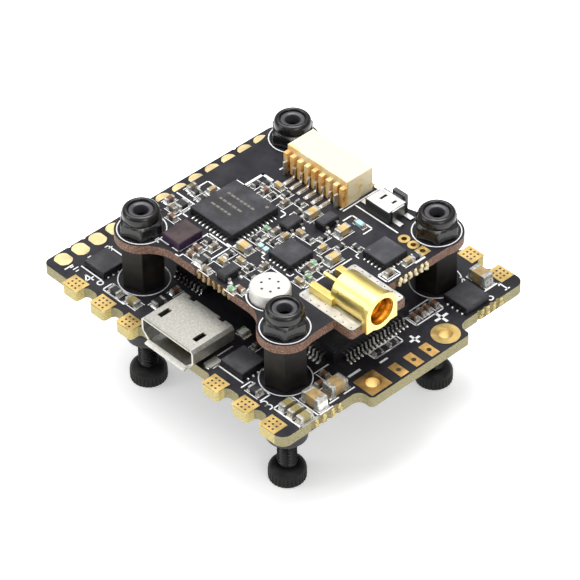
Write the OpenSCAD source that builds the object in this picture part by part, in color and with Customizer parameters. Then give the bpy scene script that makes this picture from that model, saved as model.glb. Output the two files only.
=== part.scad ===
// Two-board flight controller stack: lower flight board, upper video board,
// four M2 columns. Origin: centre of the column pattern on the surface the
// screw heads stand on. +X is the power-pad side, -Y is the USB side.

/* [Columns] */
// Spacing of the four columns along X and Y
hole_pitch = 20; // [20:0.1:20.4]
// Diameter of a screw head
head_d = 3.8; // [3.6:0.1:4]
// Height of a screw head
head_h = 2; // [1.8:0.1:2.2]
// Nominal diameter of the screw thread
thread_d = 2; // [1.9:0.05:2]
// Length of a screw under its head
screw_l = 18; // [17.6:0.1:18.2]
// Free thread between a screw head and its damper
clamp_gap = 3.35; // [3:0.05:3.6]
// Height of the rubber damper under the lower board
damper_h = 6.2; // [6:0.1:6.4]
// Outer diameter of a damper
damper_d = 4.2; // [4:0.1:4.4]
// Height of the hexagonal spacer between the boards
spacer_h = 5.35; // [5.2:0.05:5.6]
// Width of spacers and nuts across their flats
hex_flats = 4; // [3.9:0.05:4.1]
// Height of a lock nut
nut_h = 2.6; // [2.5:0.05:2.8]

/* [Lower board] */
// Thickness of the lower board
main_t = 1.2; // [1:0.1:1.2]
// X of the plain edge on the signal-pad side
main_x0 = -18.75; // [-19:0.05:-18.6]
// X of the plain edge on the power side
main_x1 = 16.1; // [16:0.05:16.2]
// X of the edge of the power tab
tab_x1 = 17.8; // [17.7:0.05:18]
// Y of the ends of the motor pads, both sides
pad_end_y = 16.2; // [16.1:0.05:16.3]
// Y of the plain edge beside the motor pads
plain_y = 15.5; // [15.4:0.05:15.6]
// Y of the bottom of the scallops between motor pads
scallop_y = 14.85; // [14.8:0.05:14.9]
// Width of a motor pad
motor_pad_w = 2.2; // [2:0.1:2.3]
// Radius of the two power wire holes
wire_hole_r = 0.7; // [0.6:0.05:0.75]

/* [Upper board] */
// Thickness of the upper board
top_t = 1; // [0.9:0.05:1]
// X of the plain edge on the signal-pad side
top_x0 = -11.9; // [-12:0.05:-11.8]
// X of the plain edge on the power side
top_x1 = 12.5; // [12.4:0.05:12.6]
// Y of the plain edge on the USB side
top_y0 = -10.3; // [-10.4:0.05:-10.2]
// Y of the plain edge on the button side
top_y1 = 10.4; // [10.35:0.05:10.5]
// Radius of the round lobes about the columns
lobe_r = 2.7; // [2.6:0.05:2.8]

/* [Sockets] */
// Width of the USB shell
usb_w = 7.3; // [7.2:0.1:7.5]
// Depth of the USB shell
usb_d = 5.3; // [5.2:0.1:5.4]
// Height of the USB shell
usb_h = 2.6; // [2.5:0.05:2.7]
// Pitch of the cable socket contacts
jst_pitch = 1; // [1:0.01:1.02]
// Outer radius of the antenna jack barrel
jack_r = 1.85; // [1.8:0.05:1.9]
// Radius of the opening of the antenna jack
jack_bore_r = 1.45; // [1.4:0.05:1.5]

/* [Button] */
// Travel of the side push button
button_travel = 0.25; // [0.2:0.01:0.3]

/* [Hidden] */

$fn = 48;
gap = 0.05;                    // running gap round the sliding plunger
foil = 0.04;                   // thickness of a pad
half_pitch = hole_pitch / 2;
main_z = head_h + clamp_gap + damper_h;
main_top = main_z + main_t;
top_z = main_top + spacer_h;
top_top = top_z + top_t;
bore_r = thread_d / 2 + 0.1;   // clearance holes for the screws
hex_r = hex_flats / sqrt(3);
hex_turn = 17;                 // turn of the hexagons on the columns
collar_r = 1.25;               // opening of a lock nut's rolled collar
insert_r = 0.72;               // opening of the nylon ring, tighter than the thread
pin_r = 0.24;                  // centre pin of the antenna jack
motor_low_x = [-14.05, -10.05, -6.2, 6, 10.1, 13.85];
motor_high_x = [-13.6, -9.6, -5.6, 5.6, 9.6, 13.6];
signal_x = -17.65;
signal_y0 = -13.75;
signal_pitch = 2.22;
signal_count = 13;
plus_at = [16.1, 5.2];
minus_at = [16.2, -4.65];
supply_x = 16.6;
supply_y = [2.45, 0.4, -1.65];
header_y = 6.9;
header_x = [8.7, 9.95, 11.2];
usb_x = -0.15;
usb_front_y = -15.8;
jst_x = -2.8;
jst_rear_y = 6.45;
jst_front_y = 9.9;
jst_w = 8.3;
jst_h = 2.9;
jst_count = 6;
jack_y = -2.85;
jack_z = top_top + 1.05;
jack_rear_x = 10.6;
jack_face_x = 15.6;
mic_at = [5.8, -7.92];
button_x = 4.6;
button_y0 = 7.3;
button_y1 = 9.9;
processor_at = [6.8, -0.45];
radio_at = [-5.4, -2.15];
blend_r = 3.5;                 // concave blends beside the upper board's lobes

black = [0.10, 0.10, 0.11];
gold = [0.90, 0.74, 0.40];
silver = [0.78, 0.77, 0.74];

// ---- shared shapes ----

// Box centred on a point of the XY plane, standing at height z
module block(at, z, size) {
    translate([at[0] - size[0] / 2, at[1] - size[1] / 2, z])
        cube(size);
}

module at_columns() {
    for (x = [-1, 1], y = [-1, 1])
        translate([x * half_pitch, y * half_pitch, 0])
            children();
}

module hole(at, r, z, h) {
    translate([at[0], at[1], z])
        cylinder(r = r, h = h);
}

// Square outline with rounded corners, given by two opposite corners
module round_rect(a, b, r) {
    for (x = [a[0] + r, b[0] - r], y = [a[1] + r, b[1] - r])
        translate([x, y])
            circle(r = r);
    translate([a[0] + r, a[1]])
        square([b[0] - a[0] - 2 * r, b[1] - a[1]]);
    translate([a[0], a[1] + r])
        square([b[0] - a[0], b[1] - a[1] - 2 * r]);
}

// Bent lead that starts at a chip's side, steps down and ends in a foot.
// It runs along +X from the origin; the foot's underside is at z = 0.
module gull_lead(w, reach, rise, t) {
    foot = reach * 0.5;
    rotate([90, 0, 0])
        translate([0, 0, -w / 2])
            linear_extrude(height = w)
                polygon([
                    [0, rise], [0, rise - t], [reach - foot - t, rise - t],
                    [reach - foot, 0], [reach, 0], [reach, t],
                    [reach - foot + t, t], [reach - foot, rise]
                ]);
}

// Row of bent leads along Y, pointing to +X
module lead_row(count, pitch, w, reach, rise, t) {
    for (i = [0 : count - 1])
        translate([0, (i - (count - 1) / 2) * pitch, 0])
            gull_lead(w, reach, rise, t);
}

// Row of flat pads along X, lying on height z
module pad_row(at, z, count, pitch, size) {
    for (i = [0 : count - 1])
        block([at[0] + (i - (count - 1) / 2) * pitch, at[1]], z, size);
}

// Chip moulding with a chamfer along its upper edges
module moulding(at, z, size, chamfer) {
    block(at, z, [size[0], size[1], size[2] - chamfer]);
    block(at, z + size[2] - chamfer,
          [size[0] - 2 * chamfer, size[1] - 2 * chamfer, chamfer]);
}

// ---- boards ----

module motor_tabs() {
    for (x = motor_low_x)
        round_rect_tab(x, -1);
    for (x = motor_high_x)
        round_rect_tab(x, 1);
}

// One motor pad's tongue of board; side is -1 for the USB side, 1 for the other
module round_rect_tab(x, side) {
    y0 = min(side * pad_end_y, side * 12);
    translate([x, 0])
        round_rect([-motor_pad_w / 2, y0],
                   [motor_pad_w / 2, y0 + pad_end_y - 12], 0.45);
}

// Concave fillet where the power tab leaves the board's edge
module tab_fillet(y, side) {
    r = 0.9;
    translate([main_x1, y])
        scale([1, side, 1])
            difference() {
                translate([-0.2, -0.2])
                    square(r + 0.2);
                translate([r, r])
                    circle(r = r);
            }
}

module lower_outline() {
    difference() {
        union() {
            round_rect([main_x0, -plain_y], [main_x1, plain_y], 0.8);
            round_rect([motor_low_x[5], -pad_end_y], [main_x1, 0], 1.1);
            round_rect([motor_high_x[5], 0], [main_x1, pad_end_y], 1.1);
            round_rect([10, -6.3], [tab_x1, 6.9], 0.5);
            tab_fillet(-6.3, -1);
            tab_fillet(6.9, 1);
        }
        // bays between the motor pads, and the bay under the USB mouth
        for (i = [0, 1, 3, 4])
            bay(motor_low_x[i], motor_low_x[i + 1], -1);
        bay(motor_low_x[2], motor_low_x[3], -1);
        for (i = [0, 1, 3, 4])
            bay(motor_high_x[i], motor_high_x[i + 1], 1);
    }
    motor_tabs();
}

module bay(xa, xb, side) {
    a = xa + motor_pad_w / 2;
    b = xb - motor_pad_w / 2;
    y0 = side > 0 ? scallop_y : -17;
    round_rect([a - 0.02, y0], [b + 0.02, y0 + 17 - scallop_y], 0.5);
}

module lower_board() {
    color([0.13, 0.13, 0.15])
        difference() {
            translate([0, 0, main_z])
                linear_extrude(height = main_t)
                    lower_outline();
            at_columns()
                hole([0, 0], bore_r, main_z - 1, main_t + 2);
            hole(plus_at, wire_hole_r + 0.05, main_z - 1, main_t + 2);
            hole(minus_at, wire_hole_r + 0.05, main_z - 1, main_t + 2);
            for (y = supply_y)
                hole([supply_x, y], 0.25, main_z - 1, main_t + 2);
            // half holes along the power-side edge
            for (i = [0 : 3]) {
                hole([main_x1 + 0.1, -12.25 + i], 0.28, main_z - 1, main_t + 2);
                hole([main_x1 + 0.1, 9.8 + 0.85 * i], 0.28, main_z - 1, main_t + 2);
            }
            // stubs of the snapped-off panel webs
            for (y = [-12.1, -10.2, 10])
                hole([main_x0 - 0.12, y], 0.25, main_z - 1, main_t + 2);
        }
}

// Web between a column's lobe and a straight edge that passes at distance d
// from the column: the lobe is at the origin, the edge at y = d towards -X
module lobe_web(d) {
    dx = sqrt(pow(lobe_r + blend_r, 2) - pow(d + blend_r, 2));
    k = 0.98 * lobe_r / (lobe_r + blend_r);
    tuck = 0.03;
    difference() {
        polygon([[0, 0], [-k * dx, k * (d + blend_r)], [-dx, d - tuck], [-dx, 0]]);
        translate([-dx, d + blend_r])
            circle(r = blend_r + tuck / 2);
    }
}

module lobe_webs() {
    for (sx = [-1, 1], sy = [-1, 1])
        translate([sx * half_pitch, sy * half_pitch])
            scale([sx, sy, 1]) {
                lobe_web((sy < 0 ? -top_y0 : top_y1) - half_pitch);
                mirror([1, -1, 0])
                    lobe_web((sx < 0 ? -top_x0 : top_x1) - half_pitch);
            }
}

module upper_outline() {
    difference() {
        union() {
            round_rect([top_x0, top_y0], [top_x1, top_y1], 0.3);
            at_columns()
                circle(r = lobe_r);
            lobe_webs();
            round_rect([9, -6.1], [14.9, 1.05], 0.4);
        }
        // slot that takes the antenna jack
        translate([jack_rear_x - 0.25, jack_y - 1.56])
            square([10, 3.12]);
        translate([jack_rear_x - 0.2, jack_y - 1.6])
            circle(r = 0.45);
        // snapped panel webs
        for (i = [0 : 6])
            translate([-1.9 + 0.7 * i, top_y0 - 0.1])
                circle(r = 0.26);
        for (i = [0 : 5])
            translate([top_x1 + 0.12, 2.2 + 0.7 * i])
                circle(r = 0.26);
    }
}

module upper_board() {
    color([0.15, 0.14, 0.16])
        difference() {
            translate([0, 0, top_z])
                linear_extrude(height = top_t)
                    upper_outline();
            at_columns()
                hole([0, 0], bore_r, top_z - 1, top_t + 2);
            for (x = header_x)
                hole([x, header_y], 0.33, top_z - 1, top_t + 2);
        }
}

// ---- columns ----

module cap_screws() {
    r = head_d / 2;
    color(black)
        at_columns()
            difference() {
                union() {
                    rotate_extrude()
                        polygon([
                            [0, 0], [r - 0.2, 0], [r, 0.2], [r, head_h - 0.75],
                            [r - 0.07, head_h - 0.55], [r - 0.2, head_h - 0.32],
                            [r - 0.42, head_h - 0.12], [r - 0.75, head_h], [0, head_h]
                        ]);
                    translate([0, 0, head_h - 0.1])
                        cylinder(d = thread_d, h = screw_l + 0.1);
                }
                translate([0, 0, -1])
                    cylinder(r = 0.87, h = 2, $fn = 6);
            }
}

module rubber_dampers() {
    r = damper_d / 2;
    z0 = head_h + clamp_gap;
    color([0.16, 0.16, 0.17])
        at_columns()
            translate([0, 0, z0])
                rotate_extrude()
                    polygon([
                        [bore_r, 0], [r - 0.2, 0], [r, 0.2], [r, 1.5],
                        [r - 0.35, 1.9], [r - 0.35, damper_h - 1.9],
                        [r, damper_h - 1.5], [r, damper_h], [bore_r, damper_h]
                    ]);
}

module hex_spacers() {
    color([0.14, 0.12, 0.11])
        at_columns()
            translate([0, 0, main_top])
                difference() {
                    rotate([0, 0, hex_turn])
                        cylinder(r = hex_r, h = spacer_h, $fn = 6);
                    translate([0, 0, -1])
                        cylinder(r = bore_r, h = spacer_h + 2);
                }
}

module lock_nuts() {
    r = 1.9;
    color(black)
        at_columns()
            translate([0, 0, top_top])
                difference() {
                    union() {
                        rotate([0, 0, hex_turn])
                            cylinder(r = hex_r, h = 1.45, $fn = 6);
                        rotate_extrude()
                            polygon([
                                [0, 1], [r, 1], [r, nut_h - 0.45],
                                [r - 0.12, nut_h - 0.18], [r - 0.4, nut_h],
                                [0, nut_h]
                            ]);
                    }
                    translate([0, 0, -1])
                        cylinder(r = bore_r, h = nut_h + 2);
                    translate([0, 0, 1.3])
                        cylinder(r = collar_r, h = nut_h);
                }
}

module nut_inserts() {
    color([0.42, 0.4, 0.44])
        at_columns()
            translate([0, 0, top_top + 1.3])
                rotate_extrude()
                    polygon([
                        [insert_r, 0], [collar_r, 0], [collar_r, nut_h - 1.62],
                        [1.05, nut_h - 1.5], [insert_r, nut_h - 1.6]
                    ]);
}

// ---- USB socket ----

module usb_profile(inset) {
    w = usb_w / 2 - inset;
    polygon([
        [-w, usb_h - 0.35], [-w + 0.3, usb_h - inset], [w - 0.3, usb_h - inset],
        [w, usb_h - 0.35], [w, 1.05], [w - 0.85, inset], [-w + 0.85, inset],
        [-w, 1.05]
    ]);
}

// Bent lip, drawn by its side profile in Y and Z and centred on the mouth
module usb_lip(w, profile) {
    rotate([90, 0, 90])
        translate([0, 0, -w / 2])
            linear_extrude(height = w)
                polygon(profile);
}

module usb_shell() {
    wall = 0.25;
    color(silver)
        translate([usb_x, usb_front_y, main_top]) {
            difference() {
                translate([0, usb_d, 0])
                    rotate([90, 0, 0])
                        linear_extrude(height = usb_d)
                            usb_profile(0);
                translate([0, usb_d + 1, 0])
                    rotate([90, 0, 0])
                        linear_extrude(height = usb_d + 2)
                            usb_profile(wall);
                for (x = [-2.45, 2.45])
                    block([x, 1.95], usb_h - 1, [0.6, 1.4, 2]);
                for (x = [-2.05, 2.05])
                    block([x, usb_d], usb_h - 1, [0.7, 0.7, 2]);
            }
            // lips flared out from the mouth's lower and upper edges
            usb_lip(5.5, [[0.1, wall], [0.1, 0], [0, 0], [-0.45, -0.15], [-0.52, 0.06]]);
            usb_lip(6.3, [[0.1, usb_h], [0.1, usb_h - wall], [-0.1, usb_h - 0.17],
                          [-0.13, usb_h + 0.06]]);
            // solder feet
            for (s = [-1, 1])
                block([s * (usb_w / 2 + 0.28), 2.2], 0, [1, 1.5, 0.25]);
        }
}

module usb_tongue() {
    color([0.12, 0.12, 0.12])
        translate([usb_x, usb_front_y, main_top]) {
            block([0, usb_d - 0.6], 0.3, [5, 1, usb_h - 0.6]);
            block([0, 2.7], 1.35, [4.2, 3.6, 0.5]);
        }
}

module usb_contacts() {
    color(gold)
        translate([usb_x, usb_front_y, main_top])
            for (i = [-2 : 2]) {
                block([i * 0.65, 2.75], 1.25, [0.32, 3.2, 0.1]);
                block([i * 0.65, usb_d + 0.35], 0, [0.32, 0.9, 0.15]);
            }
}

// ---- cable socket ----

module cable_socket() {
    depth = jst_front_y - jst_rear_y;
    color([0.93, 0.88, 0.75])
        translate([jst_x, jst_rear_y, top_top])
            difference() {
                union() {
                    block([0, depth / 2], 0, [jst_w, depth, jst_h]);
                    // ribs between the contacts, under the roof
                    for (i = [0 : jst_count])
                        block([(i - jst_count / 2) * jst_pitch, -0.28], 0,
                              [0.5, 0.6, jst_h - 0.65]);
                    for (s = [-1, 1])
                        block([s * (jst_w / 2 - 0.25), -0.28], 0,
                              [0.5, 0.6, jst_h - 0.65]);
                }
                // mouth
                block([0, depth / 2 + 0.9], 0.55, [jst_w - 1.1, depth, jst_h - 1.1]);
                // contact passages through the rear wall
                for (i = [0 : jst_count - 1])
                    block([(i - (jst_count - 1) / 2) * jst_pitch, 0.4], 0.9,
                          [0.32, 2.2, 0.5]);
                // slots of the two anchor tabs
                for (s = [-1, 1])
                    block([s * (jst_w / 2 - 0.6), 1], -1, [0.3, 1.8, 2.2]);
            }
}

module cable_socket_contacts() {
    color(silver)
        translate([jst_x, jst_rear_y, top_top])
            for (i = [0 : jst_count - 1])
                translate([(i - (jst_count - 1) / 2) * jst_pitch - 0.15, 0, 0]) {
                    translate([0, -0.5, 1])
                        cube([0.3, 3.4, 0.3]);
                    translate([0, -0.8, 0])
                        cube([0.3, 0.32, 1.3]);
                    translate([0, -1.9, 0])
                        cube([0.3, 1.15, 0.2]);
                }
}

module cable_socket_tabs() {
    color(silver)
        translate([jst_x, jst_rear_y, top_top])
            for (s = [-1, 1]) {
                block([s * (jst_w / 2 - 0.6), 1], 0.12, [0.24, 1.6, 1]);
                block([s * (jst_w / 2 - 0.6), -0.9], 0, [0.24, 0.5, 1.6]);
            }
}

// ---- antenna jack ----

module jack_axis() {
    translate([0, jack_y, jack_z])
        rotate([0, 90, 0])
            children();
}

module antenna_jack() {
    length = jack_face_x - jack_rear_x;
    leg_h = 0.85;
    color(gold)
        jack_axis() {
            difference() {
                union() {
                    translate([0, 0, jack_rear_x])
                        cylinder(r = jack_r, h = length);
                    // flange round the mouth, squared at its foot
                    translate([0, 0, jack_face_x - 0.7])
                        cylinder(r = 2, h = 0.7);
                    translate([0, -2, jack_face_x - 0.7])
                        cube([1.7, 4, 0.7]);
                }
                translate([0, 0, jack_rear_x + 1.2])
                    cylinder(r = jack_bore_r, h = length);
                translate([0, 0, jack_rear_x - 1])
                    cylinder(r = 0.7, h = length);
            }
            // ground legs
            for (s = [-1, 1])
                translate([jack_z - top_top - foil - leg_h, s * 1.7 - 0.4, 7.9])
                    cube([leg_h, 0.8, 3.1]);
        }
}

module jack_insulator() {
    color([0.9, 0.88, 0.82])
        jack_axis()
            translate([0, 0, jack_rear_x + 0.05])
                difference() {
                    cylinder(r = 0.7, h = 1.6);
                    translate([0, 0, -1])
                        cylinder(r = pin_r, h = 4);
                }
}

module jack_pin() {
    color(gold)
        jack_axis()
            translate([0, 0, 7.9])
                cylinder(r = pin_r, h = jack_face_x - 1.2 - 7.9);
}

// ---- microphone ----

module microphone_can() {
    color([0.93, 0.91, 0.86])
        translate([mic_at[0], mic_at[1], top_top])
            difference() {
                rotate_extrude()
                    polygon([
                        [0, 0], [2, 0], [2, 1.12], [1.88, 1.3], [0, 1.3]
                    ]);
                translate([0, 0, -1])
                    cylinder(r = 1.85, h = 2.15);
                for (a = [19 : 60 : 319])
                    rotate([0, 0, a])
                        translate([0.92, 0, 0.5])
                            cylinder(r = 0.14, h = 2);
            }
}

module microphone_base() {
    color([0.2, 0.2, 0.2])
        translate([mic_at[0], mic_at[1], top_top])
            cylinder(r = 1.75, h = 0.5);
}

// ---- push button ----

module button_base() {
    z0 = top_top;
    mid_y = (button_y0 + button_y1) / 2;
    depth = button_y1 - button_y0;
    color(black)
        difference() {
            block([button_x, mid_y], z0, [3.2, depth, 1.3]);
            // chamber of the plunger and its spring
            block([button_x, 9.15], z0 + 0.25, [1.7 + 2 * gap, 1, 0.8 + 2 * gap]);
            // mouth of the chamber
            block([button_x, 9.6], z0 + 0.25, [1.1 + 2 * gap, 1, 0.8 + 2 * gap]);
        }
}

module button_cover() {
    z0 = top_top + 1.3;
    color([0.85, 0.84, 0.82]) {
        difference() {
            block([button_x, 8.5], z0, [3.1, 2.3, 0.15]);
            block([button_x - 0.55, 8.7], z0 - 1, [0.3, 0.9, 2]);
            block([button_x + 0.75, 8.9], z0 - 1, [0.25, 0.6, 2]);
        }
        for (s = [-1, 1])
            block([button_x + s * 1.68, 8.5], top_top, [0.14, 1.6, 1.45]);
        for (s = [-1, 1], y = [8, 9.45])
            block([button_x + s * 2.2, y], top_top, [0.95, 0.55, 0.2]);
    }
}

// Bowed leaf behind the plunger
module button_spring() {
    color(silver)
        translate([button_x - 0.8, 8.65, top_top + 0.34])
            cube([1.6, 0.08, 0.72]);
}

module button_plunger() {
    z0 = top_top;
    // pressed place of each block, moved out by the travel
    color([0.25, 0.25, 0.26])
        translate([0, button_travel, 0]) {
            block([button_x, 9.05], z0 + 0.25 + gap, [1.7, 0.45, 0.8]);
            block([button_x, 9.6], z0 + 0.25 + gap, [1.1, 0.75, 0.8]);
            block([button_x, 10.2], z0 + 0.1, [1.7, 0.5, 1.3]);
        }
}

// ---- chips on the lower board ----

module processor() {
    color([0.12, 0.12, 0.13])
        moulding(processor_at, main_top + 0.1, [10, 10, 1.4], 0.12);
}

module processor_leads() {
    color(silver)
        translate([processor_at[0], processor_at[1], main_top])
            for (a = [0 : 90 : 270])
                rotate([0, 0, a])
                    translate([5, 0, 0])
                        lead_row(16, 0.5, 0.22, 1, 0.75, 0.13);
}

module driver_chips() {
    color([0.2, 0.2, 0.22]) {
        moulding([-14, -11.5], main_top, [2.8, 2.9, 0.8], 0.05);
        moulding([6, -11.75], main_top, [3, 3, 0.85], 0.05);
        moulding([14.1, 10.05], main_top, [3.1, 3.1, 0.85], 0.05);
        moulding([-14, 11.5], main_top, [2.8, 2.9, 0.8], 0.05);
    }
}

module driver_leads() {
    color(silver) {
        for (i = [0 : 3]) {
            block([-12.48, -12.45 + 0.65 * i], main_top, [0.24, 0.25, 0.15]);
            block([7.68, -12.7 + 0.65 * i], main_top, [0.36, 0.25, 0.15]);
            block([-12.48, 10.5 + 0.65 * i], main_top, [0.24, 0.25, 0.15]);
        }
        pad_row([14.25, 8.35], main_top, 4, 0.65, [0.28, 0.3, 0.15]);
    }
}

module display_chip() {
    color([0.12, 0.12, 0.13])
        moulding([-6.2, -4.7], main_top + 0.1, [4.4, 5, 1], 0.1);
}

module display_chip_leads() {
    color(silver)
        translate([-6.2, -4.7, main_top])
            for (a = [90, 270])
                rotate([0, 0, a])
                    translate([2.5, 0, 0])
                        lead_row(8, 0.52, 0.22, 0.7, 0.6, 0.13);
}

module gyro_chip() {
    color([0.16, 0.16, 0.17])
        moulding([-6.5, 3.5], main_top, [3, 3, 0.9], 0.05);
}

module crystal() {
    color([0.8, 0.79, 0.75])
        moulding([-2.6, 6], main_top, [3.2, 2.5, 0.7], 0.15);
}

// Power transistors under the lower board, two to each motor
module motor_fets() {
    color([0.14, 0.14, 0.15])
        for (x = [-14.05, -6.2, 6, 13.85], s = [-1, 1])
            block([x, s * 12.6], main_z - 0.85, [3.1, 3.1, 0.85]);
}

// One small controller for each motor, under the lower board
module speed_chips() {
    color([0.14, 0.14, 0.15])
        for (x = [-13.4, 13.4], y = [-5, 5])
            block([x, y], main_z - 0.8, [3, 3, 0.8]);
}

// ---- chips on the upper board ----

module radio_chip() {
    color([0.3, 0.29, 0.31])
        moulding(radio_at, top_top, [6, 6, 0.85], 0.05);
}

module radio_chip_pads() {
    color(silver)
        translate([radio_at[0], radio_at[1], top_top])
            for (a = [0 : 90 : 270])
                rotate([0, 0, a])
                    pad_row([0, 3.22], 0, 10, 0.5, [0.26, 0.4, 0.14]);
}

module radio_amplifier() {
    color([0.36, 0.31, 0.3])
        moulding([-6.1, -8.25], top_top, [2.4, 3, 0.95], 0.05);
}

module video_chip() {
    color([0.27, 0.26, 0.27])
        moulding([3.1, -2.7], top_top, [3, 3, 0.75], 0.05);
}

module control_chip() {
    color([0.3, 0.29, 0.31])
        moulding([9.25, 3.8], top_top, [3, 3, 0.8], 0.05);
}

module small_chip_pads() {
    color(silver)
        for (at = [[3.1, -2.7], [9.25, 3.8]])
            translate([at[0], at[1], top_top])
                for (a = [0 : 90 : 270])
                    rotate([0, 0, a])
                        pad_row([0, 1.65], 0, 5, 0.5, [0.25, 0.28, 0.12]);
}

sot_at = [[2, 3.1], [-0.1, 0.4], [1, -8.75]];

module transistors() {
    color([0.2, 0.2, 0.21])
        for (at = sot_at)
            moulding(at, top_top + 0.08, [1.2, 2.1, 0.8], 0.08);
}

module transistor_leads() {
    color(silver)
        for (at = sot_at)
            translate([at[0], at[1], top_top]) {
                translate([0.6, 0, 0])
                    lead_row(2, 1.3, 0.3, 0.5, 0.5, 0.12);
                rotate([0, 0, 180])
                    translate([0.6, 0, 0])
                        lead_row(3, 0.65, 0.3, 0.4, 0.5, 0.12);
            }
}

// ---- passives ----

// Large ceramic capacitors: place, size
module bulk_capacitors() {
    color([0.72, 0.6, 0.42]) {
        block([14.5, -7.85], main_top, [1.4, 2.1, 1.25]);
        block([14.4, -10.45], main_top, [2.2, 1.35, 1.25]);
        block([12.95, 13.2], main_top, [2.1, 1.3, 1.25]);
        for (i = [-1 : 1])
            block([14.28 + 1.17 * i, -12.75], main_top, [0.8, 1.55, 0.8]);
    }
}

// Pieces that lie along Y and pieces that lie along X, on either board
caps_y = [[0.1, 3], [4, 3.3], [6.3, -0.2]];
caps_x = [[-0.8, -5.1]];
small_caps_y = [
    [-9.4, -1.4], [-11.1, -2.5], [-5.7, 2.2], [-3, 2.3], [-0.5, -1.3], [0.7, -1.2],
    [4.4, 0.2], [-3, -7.1], [2.5, -5.6], [11.4, 4.7], [11.4, 2.2], [-11.2, -5.3]
];
small_caps_x = [
    [-5.3, 3.7], [-10, -6], [-9, -6.9], [0.4, -6.6], [-0.8, -7.9], [-3.9, -8.3],
    [-3.6, -9.3], [-1, -9.8], [6.4, -4.7], [5.6, -2.6], [3.4, -9.5], [1.4, 0.25]
];

module chip_capacitors() {
    color([0.75, 0.64, 0.42]) {
        for (at = caps_y)
            block(at, top_top, [0.85, 1.5, 0.75]);
        for (at = caps_x)
            block(at, top_top, [1.5, 0.85, 0.75]);
        for (at = small_caps_y)
            block(at, top_top, [0.5, 1, 0.5]);
        for (at = small_caps_x)
            block(at, top_top, [1, 0.5, 0.5]);
        block([-8, -13.2], main_top, [1.45, 0.8, 0.6]);
        block([-6.4, -9.2], main_top, [0.5, 1, 0.5]);
        block([4.9, -8.9], main_top, [0.5, 1, 0.5]);
        for (y = [4.65, 5.6, 6.4, 7.35])
            block([12.4, y], main_top, [1, 0.5, 0.45]);
        block([12.4, -7.2], main_top, [1, 0.5, 0.5]);
        block([13, -8.5], main_top, [0.5, 1, 0.5]);
    }
}

small_res_y = [
    [-7.1, 2.3], [-6.5, 3.1], [-3.9, 3.3], [-1.1, 2.2], [-10.3, -2.7], [-9.2, -2.9],
    [-10, -4.7], [-4, -6.8], [-1.2, -6.7], [1.6, -6.7], [5.4, 1.6], [3.3, 1.4],
    [5.3, -1.3], [11.45, 5.75], [-4.7, 2.2]
];
small_res_x = [
    [-2, 3.4], [-9.9, -5.3], [-1.1, -2.6], [-1.1, -3.4], [0.6, -2.5], [6.8, -1.9],
    [5.6, -3.3], [6.6, 2.7], [2.6, -7.4], [2.5, 0.3]
];

module chip_resistors() {
    color([0.15, 0.15, 0.16]) {
        for (at = small_res_y)
            block(at, top_top, [0.5, 0.95, 0.35]);
        for (at = small_res_x)
            block(at, top_top, [0.95, 0.5, 0.35]);
        block([-2.2, -9.2], top_top, [0.9, 1.3, 0.5]);
        for (y = [-1.4, 0.6])
            block([13.55, y], main_top, [0.5, 1, 0.35]);
        block([-10.3, -13.4], main_top, [1.3, 0.8, 0.55]);
        block([9.45, -13.35], main_top, [1.3, 0.85, 0.55]);
        block([-6.2, -11.5], main_top, [0.8, 1.3, 0.55]);
        for (y = [-3, -1.5, 0, 1.5])
            block([-11.5, y], main_top, [1, 0.5, 0.35]);
    }
}

module chip_inductors() {
    color([0.35, 0.6, 0.4]) {
        block([-1.3, -1.6], top_top, [0.8, 0.45, 0.45]);
        block([5.6, -2.05], top_top, [0.9, 0.45, 0.45]);
        block([6.6, -3.7], top_top, [0.8, 0.45, 0.45]);
        block([2.8, -10.02], top_top, [0.9, 0.45, 0.45]);
    }
}

module indicator_leds() {
    color([0.55, 0.82, 0.9]) {
        block([0.1, -3.8], top_top, [0.55, 0.6, 0.4]);
        block([0.85, -3.8], top_top, [0.55, 0.6, 0.4]);
        block([4.3, 5.3], top_top, [1.2, 0.55, 0.4]);
        block([2.7, -8.6], main_top, [1, 1, 0.45]);
    }
}

// ---- pads ----

module motor_pads() {
    deep = 1.75;
    color(gold) {
        for (x = motor_low_x)
            block([x, -pad_end_y + deep / 2 + 0.05], main_top,
                  [motor_pad_w - 0.1, deep, foil]);
        for (x = motor_high_x)
            block([x, pad_end_y - deep / 2 - 0.05], main_top,
                  [motor_pad_w - 0.1, deep, foil]);
    }
}

module signal_pads() {
    color(gold)
        for (i = [0 : signal_count - 1])
            translate([signal_x, signal_y0 + signal_pitch * i, main_top])
                intersection() {
                    cylinder(r = 0.92, h = foil);
                    block([0, 0], -1, [3, 1.6, 3]);
                }
}

// Ring pads with plated barrels, on both faces
module battery_pads() {
    color(gold)
        for (at = [plus_at, minus_at])
            translate([at[0], at[1], 0])
                difference() {
                    union() {
                        if (at == plus_at)
                            translate([0, 0, main_top])
                                cylinder(r = 1.45, h = foil);
                        if (at == minus_at)
                            block([0, 0], main_top, [2.65, 2.65, foil]);
                        translate([0, 0, main_z])
                            cylinder(r = wire_hole_r + 0.05, h = main_t);
                        translate([0, 0, main_z - foil])
                            cylinder(r = 1.1, h = foil);
                    }
                    translate([0, 0, main_z - 1])
                        cylinder(r = wire_hole_r, h = main_t + 2);
                }
}

module supply_pads() {
    color(gold)
        for (y = supply_y)
            difference() {
                block([supply_x, y], main_top, [1.85, 1.05, foil]);
                hole([supply_x, y], 0.25, main_z, 3);
            }
}

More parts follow.
